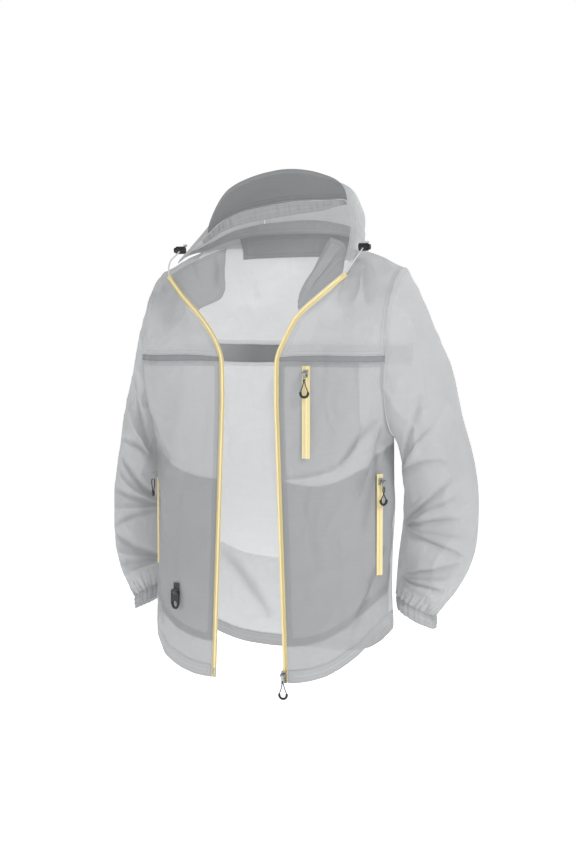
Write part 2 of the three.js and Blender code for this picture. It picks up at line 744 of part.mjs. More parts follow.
function zipCoil(side, startHeight) {
  const foot = zipFoot(side).lerp(zipBend(side), startHeight / zipLength);
  const flare = zipFlare(side);
  const path = spline(
    ...steps(6, 0, 0.98).map((t) => foot.clone().lerp(zipBend(side), t).add(vec(0, -coilFront, 0))),
    ...steps(16, 0, 0.97).map((t) => flare.getPoint(t).addScaledVector(zipNormal(flare, t), coilFront)),
  );
  return roundTube(path, zip.coilRadius, 6, 48);
}

const tapeRows = [0, ...steps(22, 0.5, 1)];
const coilStart = { left: endBlock.height + 1, right: endBlock.pinHeight + 1 };
for (const [name, side] of [['left', 1], ['right', -1]]) {
  add(`${name}_zip_tape`, sheet(zipTape(side), [0, 1], tapeRows, -zip.tape / 2, zip.tape / 2), colours.zip);
  add(`${name}_zip_coil`, zipCoil(side, coilStart[name]), colours.zip, 0.5);
}

// A frame that stands on the zip line at a height over its foot, Z along the line, -Y out.
function onZipLine(side, height) {
  const frame = new THREE.Group();
  frame.position.copy(zipFoot(side).lerp(zipBend(side), height / zipLength));
  frame.position.y -= coilFront;
  const along = zipBend(side).sub(zipFoot(side));
  frame.rotation.y = Math.atan2(along.x, along.z);
  jacket.add(frame);
  return frame;
}

const blockBack = coilFront - zip.tape / 2 - zip.gap;
const block = box(
  -endBlock.width / 2, endBlock.width / 2,
  blockBack - endBlock.depth, blockBack,
  endBlock.lift, endBlock.height,
);
add('zip_retaining_box', block, colours.metal, 0.4, 0.8, onZipLine(1, 0));
const pin = rod(endBlock.pin, endBlock.pinHeight, 'z');
pin.translate(0, blockBack - endBlock.pin, endBlock.pinHeight / 2 + endBlock.lift);
add('zip_insertion_pin', pin, colours.metal, 0.4, 0.8, onZipLine(-1, 0));

// ---------------------------------------------------------------- sliders and pulls

const eye = { inner: bail.radius + pull.play, outer: bail.radius + pull.play + tab.eyeWall };

// Half circle and straight sides round a pin at the origin, reaching down to the given depth.
function loopOutline(radius, depth) {
  const shape = new THREE.Shape();
  shape.absarc(0, 0, radius, 0, Math.PI, false);
  shape.absarc(0, -depth, radius, Math.PI, 2 * Math.PI, false);
  return shape;
}

function sliderBody(outline, front) {
  const shell = new THREE.ExtrudeGeometry(new THREE.Shape(outline.map(([x, y]) => new THREE.Vector2(x, y))), {
    depth: slider.length, bevelEnabled: false,
  });
  shell.translate(0, 0, -slider.length / 2);
  const inside = tab.width / 2 + pull.play;
  const barY = front - eye.outer - bail.standOff;
  const cheek = (side) => {
    const [near, far] = [side * inside, side * (inside + slider.cheek)];
    return box(
      Math.min(near, far), Math.max(near, far),
      barY - bail.radius - bail.lip, front + slider.plate / 2,
      -bail.cheekHalf, bail.cheekHalf,
    );
  };
  const bar = rod(bail.radius, 2 * inside + slider.cheek, 'x');
  bar.translate(0, barY, 0);
  return joined(shell, cheek(1), cheek(-1), bar);
}

function pullTab() {
  const outline = loopOutline(eye.outer, 0);
  outline.holes.push(new THREE.Path().absarc(0, 0, eye.inner, 0, 2 * Math.PI, true));
  const ringPart = sideways(outline, tab.width);
  const flat = tab.thickness / 2;
  const tongue = box(-tab.width / 2, tab.width / 2, -flat, flat, -tab.length, -(eye.inner + eye.outer) / 2);
  const holeLow = -tab.length + tab.rim;
  const holeHalf = cordPull.strand / 2 + 0.4;
  const slot = box(-holeHalf, holeHalf, -tab.thickness, tab.thickness, holeLow, holeLow + tab.holeHeight);
  return cut(joined(ringPart, tongue), slot);
}

const loopHalf = Math.hypot(tab.thickness, tab.rim) / 2 + 0.4;

// A cord that passes through the tab's slot round its rim, and spreads down to both ends
// of a thick half ring. The origin is the middle of the rim.
function cordPullBody() {
  const bow = loopHalf + cordPull.strand / 2;
  const spread = (side) => [
    vec(side * 0.1, side * bow, -bow * 0.5),
    vec(side * cordPull.endRadius * 0.3, side * bow * 0.8, -cordPull.drop * 0.45),
    vec(side * cordPull.endRadius * 0.98, side * 0.2, -cordPull.drop),
  ];
  const overRim = steps(4).map((t) => vec(0, -bow * Math.cos(Math.PI * t), bow * Math.sin(Math.PI * t)));
  const run = spline(...spread(-1).reverse(), ...overRim, ...spread(1));
  const strands = roundTube(run, cordPull.strand / 2, 6, 30);
  const low = -cordPull.drop - 1;
  const arc = steps(10, -0.08, 1.08).map((t) => vec(
    -cordPull.endRadius * Math.cos(Math.PI * t), 0, low - cordPull.endRadius * Math.sin(Math.PI * t),
  ));
  return joined(strands, roundTube(spline(...arc), cordPull.endTube, 8, 16));
}

function dressSlider(name, frame, outline, front) {
  const barY = front - eye.outer - bail.standOff;
  add(`${name}_slider`, sliderBody(outline, front), colours.metal, 0.35, 0.85, frame);
  const tabFrame = new THREE.Group();
  tabFrame.position.y = barY;
  frame.add(tabFrame);
  add(`${name}_pull_tab`, pullTab(), colours.metal, 0.35, 0.85, tabFrame);
  const cordFrame = new THREE.Group();
  cordFrame.position.z = -tab.length + tab.rim / 2;
  tabFrame.add(cordFrame);
  add(`${name}_cord_pull`, cordPullBody(), colours.plastic, 0.5, 0, cordFrame);
}

const coilRoom = zip.coilRadius + slider.running;
const tapeFace = coilFront - zip.tape / 2;
const tapeBack = coilFront + zip.tape / 2;
const freeWall = zip.freeSide + slider.running;
const sliderFront = -coilRoom - slider.plate;
const gripBack = tapeBack + slider.running;
dressSlider('front_zip', onZipLine(1, coilStart.left + slider.length / 2 + 0.5), [
  [-freeWall - slider.wall, sliderFront], [coilRoom + slider.wall, sliderFront],
  [coilRoom + slider.wall, tapeFace - slider.running], [coilRoom, tapeFace - slider.running],
  [coilRoom, -coilRoom], [-freeWall, -coilRoom], [-freeWall, gripBack],
  [coilRoom + slider.wall, gripBack], [coilRoom + slider.wall, gripBack + slider.plate],
  [-freeWall - slider.wall, gripBack + slider.plate],
], sliderFront);

// How far out of a sheet a flat piece has to stand, in its own frame, to clear the sheet.
function seat(surface, frame, halfWidth, low, high) {
  frame.updateMatrixWorld(true);
  const toFrame = frame.matrixWorld.clone().invert();
  let nearest = Infinity;
  for (const u of steps(60)) {
    for (const v of steps(90)) {
      const point = surface(u, v).applyMatrix4(toFrame);
      const behind = Math.abs(point.x) < halfWidth && point.z > low && point.z < high;
      if (behind) nearest = Math.min(nearest, point.y);
    }
  }
  return nearest - half - cloth.layerGap;
}

// A frame on a front panel, turned about the vertical, its -Y face out of the cloth.
function onPanel(side, x, y, z, turn, halfWidth, low, high) {
  const frame = new THREE.Group();
  frame.position.set(side * x, y, z);
  frame.rotation.z = (side * turn * Math.PI) / 180;
  jacket.add(frame);
  const out = seat(frontPanel(side), frame, halfWidth, low, high);
  frame.position.add(vec(0, out, 0).applyAxisAngle(vec(0, 0, 1), frame.rotation.z));
  return frame;
}

const ridgeRoom = pocketZip.coilHalf + slider.running;
const ridgeFront = -pocketZip.plate - pocketZip.coilRise - slider.running - slider.plate;

function pocketZipSet(name, side, place, turn) {
  const wide = pocketZip.width / 2;
  const frame = onPanel(side, place.x, place.y, place.top, turn, wide, -place.length, 0);
  const [face, crest] = [-pocketZip.plate, -pocketZip.plate - pocketZip.coilRise];
  const section = new THREE.Shape([
    [-wide, 0], [-wide, face], [-pocketZip.coilHalf, face], [-pocketZip.coilHalf * 0.6, crest],
    [pocketZip.coilHalf * 0.6, crest], [pocketZip.coilHalf, face], [wide, face], [wide, 0],
  ].map(([x, y]) => new THREE.Vector2(x, y)));
  const tape = new THREE.ExtrudeGeometry(section, { depth: place.length, bevelEnabled: false });
  tape.translate(0, 0, -place.length);
  add(`${name}_zip`, tape, colours.zip, 0.7, 0, frame);
  const sliderFrame = new THREE.Group();
  sliderFrame.position.z = -pocketEnd - slider.length / 2;
  frame.add(sliderFrame);
  const walls = ridgeRoom + slider.wall;
  dressSlider(name, sliderFrame, [
    [-walls, ridgeFront], [walls, ridgeFront], [walls, face - 0.4], [ridgeRoom, face - 0.4],
    [ridgeRoom, ridgeFront + slider.plate], [-ridgeRoom, ridgeFront + slider.plate],
    [-ridgeRoom, face - 0.4], [-walls, face - 0.4],
  ], ridgeFront);
}

pocketZipSet('chest_pocket', 1, chestPocket, 0);
pocketZipSet('left_pocket', 1, sidePocket, sidePocket.turn);
pocketZipSet('right_pocket', -1, sidePocket, sidePocket.turn);

// ---------------------------------------------------------------- hood cords and cord locks

const cordSlope = (cord.slope * Math.PI) / 180;

for (const [name, side] of [['left', 1], ['right', -1]]) {
  const along = vec(0, Math.cos(cordSlope), Math.sin(cordSlope));
  const bend = vec(side * cord.x, cord.bendY, cord.bendZ);
  const route = spline(
    vec(side * 152.7, -199.6, -87.3), vec(side * 158, -187, -73),
    ...steps(5).map((t) => bend.clone().addScaledVector(along, cord.straight * t)),
  );
  add(
    `${name}_hood_cord`,
    roundTube(route, cord.radius, 8, 20),
    colours.elastic, 0.8,
  );

  const frame = new THREE.Group();
  frame.position.copy(bend.addScaledVector(along, cord.lockAt));
  frame.rotation.x = cordSlope;
  jacket.add(frame);
  const hole = cord.radius + lock.clearance;
  const depth = lock.length - lock.wall;
  const bored = rod(lock.bore, depth, 'x');
  bored.translate(side * (lock.length - depth + 0.001), 0, 0);
  bored.translate(-side * (lock.length / 2 - depth / 2), 0, 0);
  const through = rod(hole, 3 * lock.radius, 'y');
  const shellOfLock = cut(rod(lock.radius, lock.length, 'x', 16), bored, through);
  add(`${name}_lock_body`, shellOfLock, colours.plastic, 0.5, 0, frame);

  const springLength = 1.6;
  const spring = { from: -lock.length / 2 + lock.wall + 0.3 };
  const innerEnd = spring.from + springLength + lock.travel + 0.3;
  const outerEnd = lock.length / 2 + lock.plungerOut;
  const stem = rod(lock.bore - lock.clearance, outerEnd - innerEnd, 'x');
  stem.translate((side * (outerEnd + innerEnd)) / 2, 0, 0);
  const slotBox = box(-hole, hole + lock.travel, -2 * lock.radius, 2 * lock.radius, -hole, hole);
  if (side < 0) slotBox.rotateZ(Math.PI);
  add(`${name}_lock_plunger`, cut(stem, slotBox), colours.plastic, 0.5, 0, frame);
  const coilPart = new THREE.TorusGeometry(lock.bore - 1.6, springLength / 2, 6, 12);
  coilPart.rotateY(Math.PI / 2);
  coilPart.translate(side * (spring.from + springLength / 2), 0, 0);
  add(`${name}_lock_spring`, coilPart, colours.metal, 0.35, 0.9, frame);
}

// ---------------------------------------------------------------- accessory hook

const barHalf = Math.hypot(ring.bar, ring.thickness) / 2;
const webEye = { inner: barHalf + 0.4, outer: barHalf + 0.4 + hook.webThickness };
const hookFrame = onPanel(-1, hook.x, hook.y, hook.z, 20, hook.webWidth / 2, 0, hook.webLength);
hookFrame.position.add(vec(0, -webEye.outer, 0).applyAxisAngle(vec(0, 0, 1), hookFrame.rotation.z));

const webOutline = loopOutline(webEye.outer, 0);
webOutline.holes.push(new THREE.Path().absarc(0, 0, webEye.inner, 0, 2 * Math.PI, true));
const web = sideways(webOutline, hook.webWidth);
const strap = box(
  -hook.webWidth / 2, hook.webWidth / 2, webEye.outer - hook.webThickness, webEye.outer, 0.5, hook.webLength,
);
add('hook_webbing', joined(web, strap), colours.plastic, 0.9, 0, hookFrame);

function hookRing() {
  const wide = ring.width / 2;
  const top = ring.bar / 2;
  const low = top - ring.height;
  const corner = 3;
  const outline = new THREE.Shape([
    [-wide, low + wide], [-wide + corner, low + corner], [-corner, low],
    [corner, low], [wide - corner, low + corner], [wide, low + wide], [wide, top], [-wide, top],
  ].map(([x, y]) => new THREE.Vector2(x, y)));
  const windowHalf = hook.webWidth / 2 + 0.5;
  const windowLow = -webEye.outer - 1;
  outline.holes.push(new THREE.Path([
    [-windowHalf, -top], [-windowHalf, windowLow], [windowHalf, windowLow], [windowHalf, -top],
  ].map(([x, y]) => new THREE.Vector2(x, y))));
  outline.holes.push(new THREE.Path().absarc(0, low + wide, wide - ring.wall, 0, 2 * Math.PI, true));
  const pressed = { depth: ring.thickness, bevelEnabled: false, curveSegments: 6 };
  const plate = new THREE.ExtrudeGeometry(outline, pressed);
  plate.rotateX(Math.PI / 2);
  plate.translate(0, ring.thickness / 2, 0);
  return plate;
}
add('accessory_hook', hookRing(), colours.plastic, 0.5, 0, hookFrame);

export default jacket;
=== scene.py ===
"""A thin hooded jacket with its front zip open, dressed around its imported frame.

Sizes are in millimetres until a mesh is made, and in metres from there on. +X is the
wearer's left, the open front faces -Y, and the origin lies above the neck seam.
"""

from __future__ import annotations

import logging
import math
from collections.abc import Callable
from dataclasses import dataclass
from enum import Enum

import bpy
import numpy as np
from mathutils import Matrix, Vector

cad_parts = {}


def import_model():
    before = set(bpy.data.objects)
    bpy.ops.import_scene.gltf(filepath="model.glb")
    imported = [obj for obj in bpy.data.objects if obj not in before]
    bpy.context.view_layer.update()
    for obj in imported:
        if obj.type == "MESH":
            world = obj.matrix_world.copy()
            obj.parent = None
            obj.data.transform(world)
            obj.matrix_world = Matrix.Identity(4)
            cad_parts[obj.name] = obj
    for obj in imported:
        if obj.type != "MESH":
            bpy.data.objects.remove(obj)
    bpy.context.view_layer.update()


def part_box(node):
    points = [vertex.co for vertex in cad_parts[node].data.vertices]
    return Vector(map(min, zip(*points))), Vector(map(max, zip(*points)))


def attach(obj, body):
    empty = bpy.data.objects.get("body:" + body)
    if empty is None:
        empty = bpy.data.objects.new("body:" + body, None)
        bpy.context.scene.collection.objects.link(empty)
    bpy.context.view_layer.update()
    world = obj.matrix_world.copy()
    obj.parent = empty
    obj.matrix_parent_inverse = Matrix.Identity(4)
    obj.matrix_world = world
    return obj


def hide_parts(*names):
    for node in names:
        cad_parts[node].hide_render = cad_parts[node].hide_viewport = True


log = logging.getLogger("jacket")

Array = np.ndarray
Line = Callable[[Array], Array]
Surface = Callable[[Array, Array], Array]
Colour = tuple[float, float, float]

MM = 0.001
FORWARD = np.array([0.0, -1.0, 0.0])


# ------------------------------------------------------------------ lines and surfaces


def unit(vectors: Array) -> Array:
    """Each vector over its own length."""
    return vectors / np.maximum(np.linalg.norm(vectors, axis=-1, keepdims=True), 1e-12)


def point(x: float, y: float, z: float) -> Array:
    """One point."""
    return np.array([x, y, z], float)


def smooth(low: float, high: float, values: Array) -> Array:
    """The smooth step from 0 at low to 1 at high: 3 t squared less 2 t cubed."""
    share = np.clip((values - low) / (high - low), 0.0, 1.0)
    return share * share * (3.0 - 2.0 * share)


def centripetal(knots: Array, share: Array) -> Array:
    """The centripetal Catmull-Rom curve through knots, or a whole row of such curves.

    Each stretch is a cubic whose end slopes come from its neighbours' distances to the
    power one half, with the first and last knots mirrored outwards.

    Args:
        knots: Points of the shape (knots, ..., 3).
        share: Places along the curve, 0 at the first knot and 1 at the last.

    Returns:
        Points of the shape (places, ..., 3).
    """
    ends = [2 * knots[0] - knots[1]], [2 * knots[-1] - knots[-2]]
    padded = np.concatenate([ends[0], knots, ends[1]])
    place = np.clip(share, 0.0, 1.0) * (len(knots) - 1)
    start = np.minimum(place.astype(int), len(knots) - 2)
    p0, p1, p2, p3 = (padded[start + k] for k in range(4))
    step0, step1, step2 = (
        np.maximum(np.linalg.norm(b - a, axis=-1, keepdims=True), 1e-6) ** 0.5
        for a, b in ((p0, p1), (p1, p2), (p2, p3))
    )
    slope1 = step1 * ((p1 - p0) / step0 - (p2 - p0) / (step0 + step1) + (p2 - p1) / step1)
    slope2 = step1 * ((p2 - p1) / step1 - (p3 - p1) / (step1 + step2) + (p3 - p2) / step2)
    t = (place - start).reshape(-1, *([1] * (p1.ndim - 1)))
    square = -3 * p1 + 3 * p2 - 2 * slope1 - slope2
    cube = 2 * p1 - 2 * p2 + slope1 + slope2
    return p1 + t * (slope1 + t * (square + t * cube))


def spline(*knots: Array) -> Line:
    """The centripetal curve through single points."""
    held = np.array(knots, float)
    return lambda t: centripetal(held, np.atleast_1d(t))


def straight(start: Array, end: Array) -> Line:
    """The straight line from start to end."""
    return lambda t: start + (end - start) * np.atleast_1d(t)[:, None]


def polyline(points: Array) -> Line:
    """A line through many close points, taken by its share of the length."""
    steps = np.linalg.norm(np.diff(points, axis=0), axis=1)
    run = np.concatenate([[0.0], np.cumsum(steps)])
    run = run / run[-1]
    return lambda t: np.stack([np.interp(np.atleast_1d(t), run, points[:, k]) for k in range(3)], axis=1)


def chain(*lines: Line) -> Line:
    """Several lines end to end, taken by their share of the whole length."""
    fine = np.linspace(0.0, 1.0, 500)
    return polyline(np.concatenate([line(fine) for line in lines]))


def backwards(line: Line) -> Line:
    """The same line from its end to its start."""
    return lambda t: line(1.0 - np.atleast_1d(t))


def stretch(line: Line, start: float, end: float) -> Line:
    """The part of a line between two shares of it."""
    return lambda t: line(start + (end - start) * np.atleast_1d(t))


def end_of(line: Line, share: float) -> Array:
    """One point of a line."""
    return line(np.array([share]))[0]


def pinned(line: Line, start: Array, end: Array) -> Line:
    """The line eased so that it runs from start to end: each end's miss fades linearly.

    Args:
        line: The line to ease.
        start: Where it has to begin.
        end: Where it has to end.

    Returns:
        The eased line.
    """
    first, last = start - end_of(line, 0.0), end - end_of(line, 1.0)

    def eased(t: Array) -> Array:
        """The eased line at t."""
        share = np.atleast_1d(t)[:, None]
        return line(t) + first * (1.0 - share) + last * share

    return eased


def filled(bottom: Line, top: Line, left: Line, right: Line, hold: float = 2.0) -> Surface:
    """The surface between four edge lines.

    It is the straight blend from bottom to top, plus what each side edge bends away from
    that blend, fading across the sheet with the power hold.

    Args:
        bottom: Edge at v = 0, along u.
        top: Edge at v = 1, along u.
        left: Edge at u = 0, along v.
        right: Edge at u = 1, along v.
        hold: How soon the side edges' bends fade.

    Returns:
        The surface as a function of columns u and rows v.
    """

    def surface(u: Array, v: Array) -> Array:
        """Points of the surface.

        Args:
            u: Shares across.
            v: Shares along.

        Returns:
            Points of the shape (rows, columns, 3).
        """
        rows, columns = v[:, None, None], u[None, :, None]
        low, high = bottom(u)[None], top(u)[None]
        between = low + (high - low) * rows
        corner = np.array([0.0, 1.0])
        low_ends, high_ends = bottom(corner), top(corner)
        side0 = left(v) - (low_ends[0] + (high_ends[0] - low_ends[0]) * v[:, None])
        side1 = right(v) - (low_ends[1] + (high_ends[1] - low_ends[1]) * v[:, None])
        return between + side0[:, None] * (1.0 - columns) ** hold + side1[:, None] * columns**hold

    return surface


def across_surface(grid: Array, closed: bool = False) -> Array:
    """Unit normals of a grid: the cross product of its two central differences."""
    if closed:
        around = np.roll(grid, -1, axis=1) - np.roll(grid, 1, axis=1)
    else:
        around = np.gradient(grid, axis=1)
    return unit(np.cross(around, np.gradient(grid, axis=0)))


# ------------------------------------------------------------------ folds and crumples


class GradientNoise:
    """Smooth noise over space: random slopes on a unit lattice, blended between corners."""

    def __init__(self, seed: int) -> None:
        """Draws the lattice from the seed."""
        draw = np.random.default_rng(seed)
        self.order = draw.permutation(256)
        self.slopes = unit(draw.normal(size=(256, 3)))

    def __call__(self, places: Array) -> Array:
        """The noise, about -1 to 1, at places of the shape (n, 3)."""
        cell = np.floor(places).astype(int)
        inside = places - cell
        ease = inside**3 * (inside * (inside * 6.0 - 15.0) + 10.0)
        total = np.zeros(len(places))
        for corner in np.ndindex(2, 2, 2):
            near = np.array(corner)
            at = (cell + near) % 256
            index = self.order[(self.order[(self.order[at[:, 0]] + at[:, 1]) % 256] + at[:, 2]) % 256]
            weight = np.prod(np.where(near == 1, ease, 1.0 - ease), axis=1)
            total += weight * np.sum(self.slopes[index] * (inside - near), axis=1)
        return total * 1.6


@dataclass(frozen=True)
class Crease:
    """A fold along a path: a ridge or valley with tapered ends, steeper on one side."""

    path: tuple[Colour, ...]
    width: float
    height: float
    push: Colour
    steep: float = 3.2
    reach: float = 3.0

    def shift(self, places: Array) -> Array:
        """Height times the bell curve of the distance over the width, tapered at both ends.

        Args:
            places: Points of the shape (n, 3).

        Returns:
            The shift of each point.
        """
        return (self.height * self.bell(places))[:, None] * unit(np.array(self.push, float))

    def bell(self, places: Array, sharp: float = 1.0) -> Array:
        """The fold's profile at each place, worked out only near its path.

        Args:
            places: Points of the shape (n, 3).
            sharp: How many times narrower than the fold the curve is.

        Returns:
            A share for each point, 1 on the path.
        """
        knots = np.array(self.path, float)
        far = self.reach * self.width
        near = np.all((places > knots.min(axis=0) - far) & (places < knots.max(axis=0) + far), axis=1)
        result = np.zeros(len(places))
        if near.any():
            result[near] = self.profile(places[near], knots, sharp / self.width)
        return result

    def profile(self, places: Array, knots: Array, scale: float) -> Array:
        """A bell curve of the distance to the nearest stretch, which falls off faster on one side.

        Args:
            places: Points of the shape (n, 3).
            knots: The path's points.
            scale: One over the curve's width.

        Returns:
            A share for each point.
        """
        gaps, sides, shares = [], [], []
        for index, (start, end) in enumerate(zip(knots[:-1], knots[1:])):
            run = end - start
            part = np.clip((places - start) @ run / (run @ run), 0.0, 1.0)
            away = places - (start + part[:, None] * run)
            gaps.append(np.linalg.norm(away, axis=1))
            sides.append(away @ unit(np.cross(run, np.array(self.push, float))))
            shares.append((index + part) / (len(knots) - 1))
        pick = np.argmin(gaps, axis=0)[None]
        gap, side, share = (
            np.take_along_axis(np.array(rows), pick, axis=0)[0] for rows in (gaps, sides, shares)
        )
        across = np.minimum(side, 0.0) * (self.steep - 1.0)
        taper = np.sqrt(np.clip(4.0 * share * (1.0 - share), 0.0, 1.0)) * 0.85 + 0.15
        return np.exp(-((gap * scale) ** 2) - (across * scale) ** 2) * taper


@dataclass(frozen=True)
class FoldFan:
    """Folds that spread over a cloth from one place to evenly spaced places, up and down in turn.

    Places are columns and rows of the cloth's surface, from 0 to 1.
    """

    root: tuple[float, float]
    first: tuple[float, float]
    last: tuple[float, float]
    count: int
    width: float
    height: float
    knots: int = 7
    clear: float = 0.12

    def creases(self, surface: Surface, round_limb: bool = False, slip: float = 0.0) -> list[Crease]:
        """Lays the folds on a surface.

        Args:
            surface: The cloth.
            round_limb: Whether the cloth closes round a limb, and isn't part of the torso.
            slip: How many rows the whole fan is moved along.

        Returns:
            The folds.
        """
        made = []
        start = np.array(self.root)
        for index in range(self.count):
            spread = index / max(1, self.count - 1)
            tip = np.array(self.first) * (1.0 - spread) + np.array(self.last) * spread
            run = start + (tip - start) * np.linspace(self.clear, 1.0, self.knots)[:, None]
            places = [(np.array([u]), np.array([v + slip])) for u, v in run]
            path = np.array([surface(u, v)[0, 0] for u, v in places])
            u, v = places[self.knots // 2]
            middle = surface(u, v)[0, 0]
            hub = (middle + surface(u + 0.5, v)[0, 0]) / 2 if round_limb else point(0.0, -105.0, middle[2])
            rise = self.height if index % 2 else -self.height
            made.append(Crease(tuple(map(tuple, path)), self.width, rise, tuple(unit(middle - hub))))
        return made


class Drape:
    """How the whole cloth shell hangs: one shift of space, so that seams stay shut."""

    def __init__(self, fixed: Array, creases: list[Crease], clear: float = 7.0, free: float = 42.0) -> None:
        """Sets what stays put.

        Args:
            fixed: Points of the hardware, where the cloth isn't moved.
            creases: The folds that lie in known places.
            clear: Distance from the hardware at which the cloth starts to move.
            free: Distance at which it moves in full.
        """
        self.fixed = fixed
        self.creases = creases
        self.clear = clear
        self.free = free
        self.noises = [GradientNoise(seed) for seed in (3, 5, 8, 13, 21, 34, 55)]

    def calm(self, places: Array) -> Array:
        """The share of the movement at each place, 0 at the hardware."""
        near = np.full(len(places), np.inf)
        for part in np.array_split(self.fixed, max(1, len(self.fixed) // 40)):
            gaps = np.linalg.norm(places[:, None] - part[None], axis=2)
            near = np.minimum(near, gaps.min(axis=1))
        return smooth(self.clear, self.free, near)

    def fold_shade_and_doubling(self, places: Array) -> Array:
        """How far the cloth is doubled over on itself at each place, from 0 to 1; the cloth's finish paints
        shade into the creases by this share, and makes them a little less see-through.
        """
        total = np.zeros(len(places))
        for crease in self.creases:
            offset = np.array(crease.push, float) * abs(crease.height) * 0.3
            total += crease.bell(places - offset, 1.5) * min(1.0, abs(crease.height) / 7.0)
        return np.clip(total, 0.0, 1.0)

    def shift(self, places: Array, lively: float = 1.0) -> Array:
        """Slow waves, soft folds and sharp little creases, with the known folds added.

        Args:
            places: Points of the shape (n, 3), in millimetres.
            lively: Scale of the random part.

        Returns:
            The shift of each point.
        """
        n = self.noises
        long = places / np.array([95.0, 95.0, 190.0])
        mid = places / np.array([42.0, 42.0, 74.0]) + 0.35 * np.stack([n[3](long * 2)] * 3, axis=1)
        short = places / np.array([19.0, 19.0, 27.0])
        waves = 5.5 * np.stack([n[0](long), n[1](long), 0.3 * n[2](long)], axis=1)
        ridge = (0.3 - np.abs(n[4](mid)))[:, None] * 7.5
        fine = (0.25 - np.abs(n[5](short)))[:, None] * 1.7
        lean = unit(np.stack([n[1](long), n[0](long) - 0.6, 0.2 * n[2](long)], axis=1))
        total = (waves + (ridge + fine) * lean) * lively
        for crease in self.creases:
            total = total + crease.shift(places)
        return total * self.calm(places)[:, None]


# ------------------------------------------------------------------ shader writing


class Value:
    """A socket that carries a number, with Python's operators written as Math nodes."""

    def __init__(self, shader: Shader, socket: bpy.types.NodeSocket) -> None:
        """Wraps one output socket."""
        self.shader = shader
        self.socket = socket

    def math(self, operation: str, *others: Value | float, first: Value | float | None = None) -> Value:
        """One Math node.

        Args:
            operation: The node's operation.
            others: The further operands.
            first: The first operand where it isn't this value.

        Returns:
            The node's result.
        """
        operands = [self if first is None else first, *others]
        node = self.shader.node("ShaderNodeMath", {"operation": operation}, dict(enumerate(operands)))
        return Value(self.shader, node.outputs[0])

    def __add__(self, other: Value | float) -> Value:
        """This plus other."""
        return self.math("ADD", other)

    __radd__ = __add__

    def __sub__(self, other: Value | float) -> Value:
        """This less other."""
        return self.math("SUBTRACT", other)

    def __rsub__(self, other: float) -> Value:
        """Other less this."""
        return self.math("SUBTRACT", self, first=other)

    def __mul__(self, other: Value | float) -> Value:
        """This times other."""
        return self.math("MULTIPLY", other)

    __rmul__ = __mul__

    def __truediv__(self, other: Value | float) -> Value:
        """This over other."""
        return self.math("DIVIDE", other)

    def __abs__(self) -> Value:
        """This without its sign."""
        return self.math("ABSOLUTE")

    def sine(self) -> Value:
        """The sine of this."""
        return self.math("SINE")

    def fraction(self) -> Value:
        """What is left over the whole number."""
        return self.math("FRACT")

    def ramp(self, low: float, high: float, start: float = 0.0, end: float = 1.0) -> Value:
        """The smooth step of this value from low to high, drawn out from start to end.

        Args:
            low: Value that gives start.
            high: Value that gives end.
            start: Result at low.
            end: Result at high.

        Returns:
            The eased value.
        """
        node = self.shader.node(
            "ShaderNodeMapRange",
            {"interpolation_type": "SMOOTHSTEP", "clamp": True},
            {"Value": self, "From Min": low, "From Max": high, "To Min": start, "To Max": end},
        )
        return Value(self.shader, node.outputs[0])


